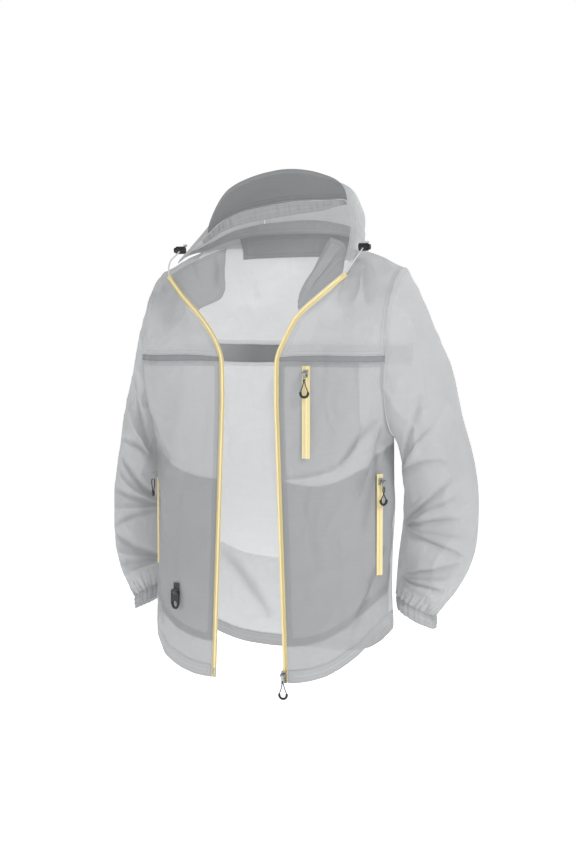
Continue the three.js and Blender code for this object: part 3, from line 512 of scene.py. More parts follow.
class Shader:
    """A material's node tree, written node by node."""

    def __init__(self, name: str) -> None:
        """Starts an empty material."""
        self.material = bpy.data.materials.new(name)
        self.material.use_nodes = True
        self.tree = self.material.node_tree
        self.tree.nodes.clear()

    def node(
        self, kind: str, settings: dict[str, object] | None = None, inputs: dict[object, object] | None = None
    ) -> bpy.types.Node:
        """Adds one node.

        Args:
            kind: The node's type.
            settings: Its own settings, set first.
            inputs: Values or links for its sockets, by name or number.

        Returns:
            The node.
        """
        made = self.tree.nodes.new(kind)
        for name, setting in (settings or {}).items():
            setattr(made, name, setting)
        for key, given in (inputs or {}).items():
            socket = made.inputs[key]
            source = given.socket if isinstance(given, Value) else given
            if isinstance(source, bpy.types.NodeSocket):
                self.tree.links.new(source, socket)
            elif isinstance(source, tuple) and len(source) == 3 and socket.type == "RGBA":
                socket.default_value = (*source, 1.0)
            else:
                socket.default_value = source
        return made

    def place(self) -> bpy.types.NodeSocket:
        """Object coordinates."""
        return self.node("ShaderNodeTexCoord").outputs["Object"]

    def scaled(self, vector: bpy.types.NodeSocket, scale: Colour) -> bpy.types.NodeSocket:
        """A vector times a scale on each axis."""
        return self.node("ShaderNodeMapping", None, {"Vector": vector, "Scale": scale}).outputs[0]

    def axes(self, vector: bpy.types.NodeSocket) -> tuple[Value, Value, Value]:
        """The three parts of a vector."""
        parts = self.node("ShaderNodeSeparateXYZ", None, {0: vector})
        return tuple(Value(self, parts.outputs[k]) for k in range(3))

    def cloth_axes(self) -> tuple[Value, Value]:
        """Metres across and along the cloth, from its own map."""
        across, along, _ = self.axes(self.node("ShaderNodeUVMap", {"uv_map": "cloth"}).outputs[0])
        return across, along

    def attribute(self, name: str) -> Value:
        """A number stored on the mesh."""
        return Value(self, self.node("ShaderNodeAttribute", {"attribute_name": name}).outputs["Fac"])

    def noise(
        self,
        vector: bpy.types.NodeSocket,
        scale: float,
        detail: float = 3.0,
        roughness: float = 0.5,
        twist: float = 0.0,
    ) -> Value:
        """Fractal noise.

        Args:
            vector: Where to read it.
            scale: Cells to a metre.
            detail: Octaves.
            roughness: Weight of each finer octave.
            twist: Distortion.

        Returns:
            The noise, about 0 to 1.
        """
        inputs = {
            "Vector": vector, "Scale": scale, "Detail": detail, "Roughness": roughness, "Distortion": twist,
        }
        return Value(self, self.node("ShaderNodeTexNoise", None, inputs).outputs["Fac"])

    def cracks(self, vector: bpy.types.NodeSocket, scale: float) -> Value:
        """Distance to the borders between random cells."""
        inputs = {"Vector": vector, "Scale": scale}
        node = self.node("ShaderNodeTexVoronoi", {"feature": "DISTANCE_TO_EDGE"}, inputs)
        return Value(self, node.outputs["Distance"])

    def mixed(self, share: Value | float, a: object, b: object) -> bpy.types.NodeSocket:
        """Colour a turned into colour b by share."""
        node = self.node("ShaderNodeMix", {"data_type": "RGBA"}, {0: share, 6: a, 7: b})
        return node.outputs[2]

    def bump(
        self, height: Value, depth: float, below: bpy.types.NodeSocket | None = None
    ) -> bpy.types.NodeSocket:
        """A bumped normal.

        Args:
            height: The height, 0 to 1.
            depth: Metres that a height of 1 stands for.
            below: The normal it is added to.

        Returns:
            The normal.
        """
        inputs: dict[object, object] = {"Height": height, "Distance": depth}
        if below is not None:
            inputs["Normal"] = below
        return self.node("ShaderNodeBump", None, inputs).outputs[0]

    def principled(self, inputs: dict[object, object]) -> bpy.types.NodeSocket:
        """The main shader."""
        return self.node("ShaderNodeBsdfPrincipled", None, inputs).outputs[0]

    def finish(self, surface: bpy.types.NodeSocket) -> bpy.types.Material:
        """Joins the surface to the output."""
        self.node("ShaderNodeOutputMaterial", None, {"Surface": surface})
        return self.material


# ------------------------------------------------------------------ finishes


@dataclass(frozen=True)
class ThinCloth:
    """Half see-through plain weave with a soft sheen, doubled along its seams."""

    name: str
    colour: Colour = (0.60, 0.61, 0.62)
    cover: float = 0.82
    seam_cover: float = 0.93
    glow: float = 0.42
    stitch_line: float = 0.0022
    stitch_pitch: float = 0.0032
    crease_depth: float = 0.0011
    # How strongly painted shade darkens the cloth along its creases.
    crease_shade: float = 0.5
    seam_dark: float = 0.86
    seam_tone: float = 0.25

    def material(self) -> bpy.types.Material:
        """Weave, crumple, stitching and painted shade along the creases over a mix of reflected, passed and
        clear light.
        """
        s = Shader(self.name)
        where = s.place()
        across, along = s.cloth_axes()
        seam = s.attribute("seam")
        weave = (across * (2 * math.pi / 0.0011)).sine() * (along * (2 * math.pi / 0.0011)).sine()
        patches = s.noise(where, 11.0, 4.0, 0.55)
        crumple = s.noise(s.scaled(where, (1.0, 1.0, 0.62)), 34.0, 5.0, 0.6, 0.5)
        ridges = abs(crumple - 0.5).ramp(0.0, 0.16, 1.0, 0.0)
        cracks = s.cracks(s.scaled(where, (1.0, 1.0, 0.7)), 26.0).ramp(0.0, 0.09, 1.0, 0.0)
        doubled = s.attribute("doubled")
        # The fold share, broken up by noise: painted shade in the creases, and a little more cover where the
        # cloth doubles over.
        fold = s.attribute("fold") * patches.ramp(0.2, 0.6, 0.7, 1.0)
        allowance = doubled.ramp(-0.0004, 0.0004)
        fold_line = abs(doubled).ramp(0.0003, 0.0009, 1.0, 0.0)
        dashes = ((across + along) / self.stitch_pitch).fraction().ramp(0.22, 0.3)
        stitches = abs(seam - self.stitch_line).ramp(0.00025, 0.0006, 1.0, 0.0) * dashes
        height = crumple * 0.7 + ridges * 0.3 + cracks * 0.12
        normal = s.bump(height, self.crease_depth)
        normal = s.bump(weave * 0.12 + stitches + allowance * 0.35, 0.00022, normal)
        tone = s.mixed(patches.ramp(0.3, 0.7), tuple(c * 0.965 for c in self.colour), self.colour)
        streaks = s.noise(s.scaled(where, (1.0, 1.0, 9.0)), 30.0, 4.0, 0.6).ramp(0.35, 0.65)
        tone = s.mixed(streaks * 0.35, tone, tuple(c * 0.93 for c in self.colour))
        tone = s.mixed(allowance * self.seam_tone, tone, tuple(c * self.seam_dark for c in self.colour))
        tone = s.mixed(stitches * 0.55, tone, tuple(c * 0.7 for c in self.colour))
        tone = s.mixed(fold_line * 0.45, tone, tuple(c * 0.7 for c in self.colour))
        # Painted shade: the colour darkens towards 0.6 of itself along the creases.
        tone = s.mixed(fold * self.crease_shade, tone, tuple(c * 0.6 for c in self.colour))
        sheet = s.principled({
            "Base Color": tone,
            "Roughness": patches.ramp(0.3, 0.7, 0.5, 0.58),
            "Normal": normal,
            "Sheen Weight": 0.15,
            "Specular IOR Level": 0.35,
        })
        passed = s.node("ShaderNodeBsdfTranslucent", None, {"Color": tone, "Normal": normal}).outputs[0]
        cloth = s.node("ShaderNodeMixShader", None, {0: self.glow, 1: sheet, 2: passed}).outputs[0]
        clear = s.node("ShaderNodeBsdfTransparent").outputs[0]
        cover = allowance * (self.seam_cover - self.cover) + self.cover + (patches - 0.5) * 0.05 + fold * 0.08
        return s.finish(s.node("ShaderNodeMixShader", None, {0: cover, 1: clear, 2: cloth}).outputs[0])


@dataclass(frozen=True)
class WovenBand:
    """A closely woven tape: fine ribs across it and a line of stitches at each edge."""

    name: str
    colour: Colour
    rib: float = 0.0012
    roughness: float = 0.75
    stitch_line: float = 0.0018

    def material(self) -> bpy.types.Material:
        """Ribs, flecks and stitches in colour and bump."""
        s = Shader(self.name)
        where = s.place()
        across, along = s.cloth_axes()
        ribs = (across * (2 * math.pi / self.rib)).sine() * 0.5 + 0.5
        threads = (along * (2 * math.pi / (self.rib * 0.6))).sine() * 0.5 + 0.5
        flecks = s.noise(where, 420.0, 2.0)
        waves = s.noise(where, 24.0, 4.0, 0.55)
        seam = s.attribute("seam")
        dashes = ((across + along) / 0.0032).fraction().ramp(0.22, 0.3)
        stitches = abs(seam - self.stitch_line).ramp(0.0003, 0.0006, 1.0, 0.0) * dashes
        dark, light = (tuple(c * k for c in self.colour) for k in (0.86, 1.08))
        tone = s.mixed(ribs * threads * 0.5 + flecks * 0.4, dark, light)
        tone = s.mixed(stitches * 0.5, tone, tuple(c * 0.7 for c in self.colour))
        normal = s.bump(waves, 0.0012)
        normal = s.bump(ribs * 0.6 + threads * 0.4 + stitches * 0.8, 0.00018, normal)
        return s.finish(s.principled({
            "Base Color": tone,
            "Roughness": flecks.ramp(0.2, 0.8, self.roughness - 0.08, self.roughness + 0.08),
            "Normal": normal,
            "Sheen Weight": 0.1,
        }))


class Way(Enum):
    """The axis that a zip's teeth follow."""

    UPRIGHT = 2


@dataclass(frozen=True)
class ZipFinish:
    """Pale woven zip tape, or the coil of teeth sewn on it."""

    name: str
    colour: Colour = (0.86, 0.72, 0.36)
    pitch: float = 0.0016
    groove: float = 0.3
    roughness: float = 0.62
    way: Way = Way.UPRIGHT

    def material(self) -> bpy.types.Material:
        """Ridges at the pitch along the zip, with a darker colour between them."""
        s = Shader(self.name)
        where = s.place()
        run = s.axes(where)[self.way.value]
        teeth = (run * (2 * math.pi / self.pitch)).sine() * 0.5 + 0.5
        flecks = s.noise(where, 380.0, 2.0)
        dark, light = (tuple(c * k for c in self.colour) for k in (0.82, 1.05))
        tone = s.mixed(teeth * (1.0 - self.groove) + flecks * self.groove, dark, light)
        normal = s.bump(teeth + flecks * 0.3, 0.0003)
        return s.finish(s.principled({
            "Base Color": tone,
            "Roughness": flecks.ramp(0.2, 0.8, self.roughness - 0.06, self.roughness + 0.06),
            "Normal": normal,
        }))


@dataclass(frozen=True)
class CastMetal:
    """Die-cast zip metal with a brushed, slightly worn plating."""

    name: str = "cast_zip_metal"
    colour: Colour = (0.42, 0.43, 0.44)

    def material(self) -> bpy.types.Material:
        """Fine scratches in the roughness, and paler wear where the noise is high."""
        s = Shader(self.name)
        where = s.place()
        scratches = s.noise(s.scaled(where, (1.0, 1.0, 0.12)), 1600.0, 3.0, 0.7)
        wear = s.noise(where, 260.0, 4.0).ramp(0.5, 0.72)
        tone = s.mixed(wear * 0.6, self.colour, (0.72, 0.72, 0.71))
        return s.finish(s.principled({
            "Base Color": tone,
            "Metallic": 1.0,
            "Roughness": scratches.ramp(0.2, 0.8, 0.24, 0.42),
            "Normal": s.bump(scratches, 0.00003),
        }))


@dataclass(frozen=True)
class MouldedPlastic:
    """Black moulded plastic with a fine spark-eroded grain and scuffed high spots."""

    name: str = "black_moulding"
    colour: Colour = (0.012, 0.012, 0.014)
    grain: float = 1500.0

    def material(self) -> bpy.types.Material:
        """Grain in the bump, scuffs in colour and roughness."""
        s = Shader(self.name)
        where = s.place()
        grain = s.noise(where, self.grain, 2.0)
        scuffs = s.noise(where, 210.0, 5.0, 0.65).ramp(0.56, 0.74)
        return s.finish(s.principled({
            "Base Color": s.mixed(scuffs * 0.35, self.colour, (0.07, 0.07, 0.075)),
            "Roughness": (scuffs * 0.18) + grain.ramp(0.2, 0.8, 0.36, 0.46),
            "Normal": s.bump(grain, 0.00006),
        }))


@dataclass(frozen=True)
class Webbing:
    """Black webbing with a herringbone of threads across it."""

    name: str = "black_webbing"
    colour: Colour = (0.018, 0.018, 0.02)

    def material(self) -> bpy.types.Material:
        """Two crossed sets of threads."""
        s = Shader(self.name)
        where = s.place()
        x, _, z = s.axes(where)
        threads = ((x + z) * (2 * math.pi / 0.0013)).sine() * ((x - z) * (2 * math.pi / 0.0013)).sine()
        tone = s.mixed(threads * 0.5 + 0.5, self.colour, (0.06, 0.06, 0.065))
        return s.finish(s.principled({
            "Base Color": tone,
            "Roughness": s.noise(where, 500.0).ramp(0.2, 0.8, 0.7, 0.85),
            "Normal": s.bump(threads, 0.00025),
            "Sheen Weight": 0.2,
        }))


@dataclass(frozen=True)
class BraidedElastic:
    """Pale braided elastic: two sets of strands that wind round the cord and cross."""

    name: str = "braided_elastic"
    colour: Colour = (0.74, 0.75, 0.76)

    def material(self) -> bpy.types.Material:
        """Crossing strands in colour and bump, from the cord's own map."""
        s = Shader(self.name)
        around, along = s.cloth_axes()
        lean = along * (2 * math.pi / 0.0016)
        turn = around * (2 * math.pi / 0.0019)
        strands = (turn + lean).sine() * (turn - lean).sine() * 0.5 + 0.5
        tone = s.mixed(strands, tuple(c * 0.7 for c in self.colour), self.colour)
        return s.finish(s.principled({
            "Base Color": tone,
            "Roughness": strands.ramp(0.0, 1.0, 0.85, 0.7),
            "Normal": s.bump(strands, 0.0003),
        }))


@dataclass(frozen=True)
class StudioPaint:
    """The pale matt floor."""

    name: str = "pale_floor"
    colour: Colour = (0.93, 0.93, 0.93)
    glow: float = 0.62

    def material(self) -> bpy.types.Material:
        """A plain matt paint."""
        s = Shader(self.name)
        mottle = s.noise(s.place(), 2.0)
        tone = s.mixed(mottle, self.colour, tuple(c * 0.995 for c in self.colour))
        return s.finish(s.principled({
            "Base Color": tone,
            "Roughness": 0.9,
            "Emission Color": (1.0, 1.0, 1.0),
            "Emission Strength": self.glow,
        }))


@dataclass(frozen=True)
class Wardrobe:
    """Every finish of the jacket, made once."""

    shell: bpy.types.Material
    yoke: bpy.types.Material
    sleeve: bpy.types.Material
    back: bpy.types.Material
    doubled: bpy.types.Material
    facing: bpy.types.Material
    bag: bpy.types.Material
    brim: bpy.types.Material
    tape: bpy.types.Material
    band: bpy.types.Material
    zip_tape: bpy.types.Material
    coil: bpy.types.Material
    metal: bpy.types.Material
    plastic: bpy.types.Material
    webbing: bpy.types.Material
    elastic: bpy.types.Material

    @classmethod
    def stitched(cls) -> Wardrobe:
        """Makes the set."""
        return cls(
            shell=ThinCloth(
                "front_cloth", colour=(0.53, 0.54, 0.55), seam_cover=0.94, seam_dark=0.72, seam_tone=0.6,
            ).material(),
            yoke=ThinCloth("yoke_cloth", cover=0.86, glow=0.42).material(),
            sleeve=ThinCloth("sleeve_cloth", cover=0.87, glow=0.4).material(),
            back=ThinCloth("back_cloth", colour=(0.7, 0.71, 0.72), cover=0.74, glow=0.5).material(),
            doubled=ThinCloth("doubled_cloth", colour=(0.4, 0.41, 0.42), cover=0.92, glow=0.3).material(),
            facing=ThinCloth("facing_cloth", colour=(0.44, 0.45, 0.46), cover=0.93, glow=0.3).material(),
            bag=ThinCloth("bag_cloth", colour=(0.62, 0.63, 0.64), cover=0.62, glow=0.4).material(),
            brim=ThinCloth(
                "brim_cloth", colour=(0.18, 0.185, 0.19), cover=0.99, glow=0.1, crease_depth=0.0004,
            ).material(),
            tape=WovenBand("dark_tape", (0.25, 0.26, 0.27)).material(),
            band=WovenBand("dark_band", (0.4, 0.41, 0.42)).material(),
            zip_tape=ZipFinish("zip_tape_weave", pitch=0.0009).material(),
            coil=ZipFinish(
                "zip_coil_teeth", colour=(0.9, 0.77, 0.42), pitch=0.0018, roughness=0.4
            ).material(),
            metal=CastMetal().material(),
            plastic=MouldedPlastic().material(),
            webbing=Webbing().material(),
            elastic=BraidedElastic().material(),
        )


# ------------------------------------------------------------------ the pattern


@dataclass(frozen=True)
class Pattern:
    """The cut of the jacket, the same as its frame's."""

    seam_gap: float = 0.45
    layer_gap: float = 0.45
    cloth: float = 1.0
    half_width: float = 198.0
    half_depth: float = 134.0
    squareness: float = 2.8
    centre_y: float = -105.0
    length: float = 740.0
    side_rise: float = 78.0
    hem_band: float = 20.0
    chest_level: float = -222.0
    front_tape: float = 10.0
    back_tape: float = 30.0
    back_tape_lift: float = 4.0
    front_reach: float = 236.0
    front_corner: float = 224.0
    tip: tuple[float, float] = (221.0, -78.0)
    right_tip_in: float = 20.0
    underarm: tuple[float, float] = (205.0, -350.0)
    armhole_half: float = 86.0
    neck_back: float = -12.0
    neck_side: Colour = (138.0, -88.0, -44.0)
    shift: float = 4.0
    chest_half: float = 45.0
    hem_half: float = 61.0
    face_y: float = -239.0
    straight_top: float = -290.0
    lapel_seam: Colour = (81.0, -232.0, -156.0)
    lapel_tip: Colour = (152.0, -200.0, -88.0)
    panel_offset: float = 5.65
    lapel_offset: float = 6.4
    facing_offset: float = -3.8

    @property
    def tape_low(self) -> float:
        """Lower edge of the chest tape."""
        return self.chest_level - self.front_tape / 2

    @property
    def tape_high(self) -> float:
        """Upper edge of the chest tape."""
        return self.chest_level + self.front_tape / 2

    @property
    def band_low(self) -> float:
        """Lower edge of the back band."""
        return self.chest_level - self.back_tape / 2 + self.back_tape_lift

    @property
    def band_high(self) -> float:
        """Upper edge of the back band."""
        return self.chest_level + self.back_tape / 2 + self.back_tape_lift

    @property
    def band_top(self) -> float:
        """Height of the hem seam over the hem."""
        return self.hem_band + self.seam_gap

    @property
    def side_hem(self) -> float:
        """Level of the hem at the side seams."""
        return -self.length + self.side_rise

    def hem_line(self, start: float, end: float, rise: float) -> Line:
        """The hem round a squared oval: sine and cosine to the power 2 over the squareness.

        Args:
            start: Angle at the line's start, 0 at the front and a quarter turn at the left.
            end: Angle at its end.
            rise: Height over the hem.

        Returns:
            The line.
        """
        power = 2.0 / self.squareness

        def line(t: Array) -> Array:
            """The hem at shares t."""
            angle = start + (end - start) * np.atleast_1d(t)
            sine, cosine = np.sin(angle), np.cos(angle)
            return np.stack([
                self.half_width * np.sign(sine) * np.abs(sine) ** power,
                self.centre_y - self.half_depth * np.sign(cosine) * np.abs(cosine) ** power,
                -self.length + self.side_rise * np.abs(sine) ** 3 + rise,
            ], axis=1)

        return line

    def tip_x(self, side: int) -> float:
        """How far out the shoulder tip is: the right one sits further in."""
        return self.tip[0] - (self.right_tip_in if side < 0 else 0.0)

    def armhole_turn(self, level: float) -> float:
        """The armhole's turn at a level."""
        middle = (self.tip[1] + self.underarm[1]) / 2
        return math.acos((level - middle) / ((self.tip[1] - self.underarm[1]) / 2))

    def armhole(self, side: int, start: float, end: float, slip: float) -> Line:
        """Part of the armhole, an ellipse that leans in from shoulder to underarm.

        Args:
            side: 1 for the wearer's left.
            start: Turn at its start, 0 at the shoulder, positive over the front.
            end: Turn at its end.
            slip: Shift along Y.

        Returns:
            The line.
        """

        def line(t: Array) -> Array:
            """The armhole at shares t."""
            turn = start + (end - start) * np.atleast_1d(t)
            rise = np.cos(turn)
            tip_x = self.tip_x(side)
            middle_x, half_x = (tip_x + self.underarm[0]) / 2, (tip_x - self.underarm[0]) / 2
            middle_z, half_z = (self.tip[1] + self.underarm[1]) / 2, (self.tip[1] - self.underarm[1]) / 2
            return np.stack([
                side * (middle_x + half_x * rise - self.seam_gap),
                self.centre_y - self.armhole_half * np.sin(turn) + slip,
                middle_z + half_z * rise,
            ], axis=1)

        return line

    def side_seam(self, side: int, low: float, slip: float) -> Line:
        """The straight side seam up to the underarm."""
        foot = end_of(self.hem_line(side * math.pi / 2, side * math.pi / 2, 0.0), 0.0)
        top = end_of(self.armhole(side, math.pi, math.pi, slip), 0.0)
        return straight(point(foot[0], foot[1] + slip, low), top)

    def zip_foot(self, side: int) -> Array:
        """Lower end of a front zip tape."""
        return point(side * self.hem_half + self.shift, self.face_y, -self.length + self.seam_gap)

    def zip_bend(self, side: int) -> Array:
        """Where a front zip tape starts to flare."""
        return point(side * self.chest_half + self.shift, self.face_y, self.straight_top)

    def zip_flare(self, side: int) -> Line:
        """The upper part of a front zip tape, out to the lapel's tip.

        Args:
            side: 1 for the wearer's left, -1 for the right.

        Returns:
            The line, from the bend upwards.
        """
        seam, tip = self.lapel_seam, self.lapel_tip
        return spline(
            self.zip_bend(side),
            point(side * (self.chest_half + 1) + self.shift, self.face_y, self.tape_low),
            point(side * (self.chest_half + 2.5) + self.shift, self.face_y, self.tape_high),
            point(side * (self.chest_half + seam[0]) * 0.47 + self.shift, self.face_y + 2, -190),
            point(side * seam[0], seam[1], seam[2]),
            point(side * (seam[0] + tip[0]) / 2, (seam[1] + tip[1]) / 2 - 6, (seam[2] + tip[2]) / 2),
            point(side * tip[0], tip[1], tip[2]),
        )

    def beside(self, line: Line, side: int, offset: float) -> Line:
        """A line beside a zip line: square to its tangent, in the plane that faces front.

        Args:
            line: The zip line.
            side: 1 for the wearer's left.
            offset: Distance towards the panel.

        Returns:
            The line.
        """

        def shifted(t: Array) -> Array:
            """The shifted line at shares t."""
            share = np.clip(np.atleast_1d(t), 0.0, 1.0)
            small = 1e-4
            tangent = line(np.minimum(share + small, 1.0)) - line(np.maximum(share - small, 0.0))
            return line(share) + unit(np.cross(unit(tangent), FORWARD)) * side * offset

        return shifted

    def neck_point(self, side: int, slip: float) -> Array:
        """The neck seam's side end."""
        x, y, z = self.neck_side
        return point(side * x, y + slip, z)

    def shoulder(self, side: int, slip: float) -> Line:
        """The shoulder seam from neck to armhole."""
        near = self.neck_point(side, slip)
        far = end_of(self.armhole(side, 0.0, 0.0, slip), 0.0)
        return spline(near, (near + far) / 2 + point(0, 0, 3), far)

    def neck_line(self, slip: float, rise: float) -> Line:
        """The back of the neck seam, from the wearer's left to the right.

        Args:
            slip: How far the line is moved to the rear.
            rise: How far it is moved upwards.

        Returns:
            The line.
        """
        x, y, _ = self.neck_side
        lift = point(0, 0, rise)
        return spline(
            self.neck_point(1, slip) + lift,
            point(x * 0.72, y * 0.36 + slip, self.neck_back - 9) + lift,
            point(0, slip, self.neck_back) + lift,
            point(-x * 0.72, y * 0.36 + slip, self.neck_back - 9) + lift,
            self.neck_point(-1, slip) + lift,
        )


# ------------------------------------------------------------------ cloth pieces


class Outward(Enum):
    """What a cloth piece's outer face looks away from."""

    TORSO = "torso"
    OWN_MIDDLE = "own middle"


@dataclass
class ClothPiece:
    """One panel of cloth: a surface, a finish and the frame's node that it stands for."""

    name: str
    surface: Surface
    finish: bpy.types.Material
    slot: str
    cell: float = 3.4
    closed: bool = False
    inset: float = 0.0
    lively: float = 1.0
    outward: Outward = Outward.TORSO
    held: str = "hung"
    allowances: tuple[float, float, float, float] = (7.5, 7.5, 7.5, 7.5)
    margin: float = 0.7
    extra: Callable[[Array, Array, Array], Array] | None = None
    columns: tuple[float, float] = (0.0, 1.0)
    rows: tuple[float, float] = (0.0, 1.0)

    def grid_counts(self) -> tuple[int, int]:
        """Columns and rows for cells of about the wanted size, from the edges' lengths."""
        rough = self.surface(np.linspace(*self.columns, 25), np.linspace(*self.rows, 25))
        wide = np.linalg.norm(np.diff(rough, axis=1), axis=2).sum(axis=1).max()
        tall = np.linalg.norm(np.diff(rough, axis=0), axis=2).sum(axis=0).max()
        return max(5, round(wide / self.cell)), max(4, round(tall / self.cell))

    def build(self, drape: Drape) -> bpy.types.Object:
        """The surface is sampled on even columns and rows, pushed inwards by the inset along
        its normal, and then shifted by the drape.

        Args:
            drape: How the shell hangs.

        Returns:
            The piece.
        """
        wide, tall = self.grid_counts()
        u = np.linspace(*self.columns, wide + 1)
        v = np.linspace(*self.rows, tall + 1)
        if self.closed:
            u = u[:-1]
        flat = self.surface(u, v)
        if not self.closed:
            flat = self.overlap(flat, 1)
        flat = self.overlap(flat, 0)
        normals = across_surface(flat, self.closed)
        own_middle = self.outward is Outward.OWN_MIDDLE
        centre = flat.mean(axis=1, keepdims=True) if own_middle else self.torso_axis(flat)
        turned = np.sum(normals * (flat - centre)) < 0
        if turned:
            normals = -normals
        grid = flat - normals * self.inset
        if self.extra is not None:
            grid = grid + normals * self.extra(u, v, flat)[..., None]
        places = grid.reshape(-1, 3)
        grid = (places + drape.shift(flat.reshape(-1, 3), self.lively)).reshape(grid.shape)
        # How far each point lies in a crease; the cloth's finish paints shade there from this share.
        fold = drape.fold_shade_and_doubling(flat.reshape(-1, 3)).reshape(flat.shape[:2])
        piece = self.mesh(grid, flat, fold, turned)
        piece.data.materials.append(self.finish)
        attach(piece, "root")
        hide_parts(self.name)
        self.declare(flat)
        log.info("%s: %d by %d cells", piece.name, wide, tall)
        return piece

    def overlap(self, grid: Array, axis: int) -> Array:
        """The grid with its first and last lines moved out by the margin, to cover the seams.

        Args:
            grid: Points.
            axis: 0 to move rows, 1 to move columns.

        Returns:
            The wider grid.
        """
        lines = np.moveaxis(grid.copy(), axis, 0)
        for end, inner in ((0, 1), (-1, -2)):
            lines[end] += unit(lines[end] - lines[inner]) * self.margin
        return np.moveaxis(lines, 0, axis)

    @staticmethod
    def torso_axis(grid: Array) -> Array:
        """The torso's own axis at each point's level."""
        axis = np.zeros_like(grid)
        axis[..., 1] = -105.0
        axis[..., 2] = grid[..., 2]
        return axis

    def lengths(self, flat: Array) -> tuple[Array, Array]:
        """Metres across and along the flat cloth at each point.

        Args:
            flat: Points of the cloth before it hangs (rows, columns, 3).

        Returns:
            The run along each row and the run along each column.
        """
        ring = np.concatenate([flat, flat[:, :1]], axis=1) if self.closed else flat
        steps_u = np.linalg.norm(np.diff(ring, axis=1), axis=2)
        steps_v = np.linalg.norm(np.diff(ring, axis=0), axis=2)
        zero_u = np.zeros((len(ring), 1))
        run_u = np.concatenate([zero_u, np.cumsum(steps_u, axis=1)], axis=1)
        run_v = np.concatenate([np.zeros((1, ring.shape[1])), np.cumsum(steps_v, axis=0)], axis=0)
        return run_u * MM, run_v * MM

    def mesh(self, grid: Array, flat: Array, fold: Array, turned: bool) -> bpy.types.Object:
        """Quads over the grid, with the cloth's own map and its distance to the nearest edge.

        Args:
            grid: Final points.
            flat: Points before draping, for the map.
            fold: How far each point lies in a fold.
            turned: Whether the faces are wound the other way.

        Returns:
            The object.
        """
        rows, columns = grid.shape[:2]
        across, along = self.lengths(flat)
        last = columns if self.closed else columns - 1
        j, i = np.meshgrid(np.arange(rows - 1), np.arange(last), indexing="ij")
        corners = [(j, i), (j, i + 1), (j + 1, i + 1), (j + 1, i)]
        if turned:
            corners = corners[::-1]
        faces = np.stack([a * columns + b % columns for a, b in corners], axis=-1).reshape(-1, 4)
        mesh = bpy.data.meshes.new(self.name + "_cloth")
        mesh.from_pydata((grid.reshape(-1, 3) * MM).tolist(), [], faces.tolist())
        uv = np.stack([np.stack([across[a, b], along[a, b]], axis=-1) for a, b in corners], axis=2)
        layer = mesh.uv_layers.new(name="cloth")
        layer.data.foreach_set("uv", uv.reshape(-1))
        left, right, low, high = (width * MM for width in self.allowances)
        edges = [(along, low), (along[-1:] - along, high)]
        if not self.closed:
            edges += [(across, left), (across[:, -1:] - across, right)]
        near = np.min([gap for gap, _ in edges], axis=0)[:, :columns]
        doubled = np.max([width - gap for gap, width in edges], axis=0)[:, :columns]
        # The fold attribute drives the painted shade along the cloth's creases.
        for name, values in (("seam", near), ("doubled", doubled), ("fold", fold)):
            stored = mesh.attributes.new(name, "FLOAT", "POINT")
            stored.data.foreach_set("value", values.reshape(-1).astype(np.float32))
        mesh.shade_smooth()
        made = bpy.data.objects.new(self.name + "_cloth", mesh)
        bpy.context.scene.collection.objects.link(made)
        return made

    def declare(self, flat: Array) -> None:
        """Works out the piece's longest row and column and the area between them; nothing is done with them.

        Args:
            flat: Points before draping.
        """
        across, along = self.lengths(flat)
        wide, tall = float(across[:, -1].max()), float(along[-1].max())
        ring = np.concatenate([flat, flat[:, :1]], axis=1) if self.closed else flat
        du, dv = np.diff(ring, axis=1)[:-1], np.diff(ring, axis=0)[:, :-1]
        area = float(np.linalg.norm(np.cross(du, dv), axis=2).sum()) * MM * MM
        area = min(max(area, 0.31 * wide * tall), wide * tall)


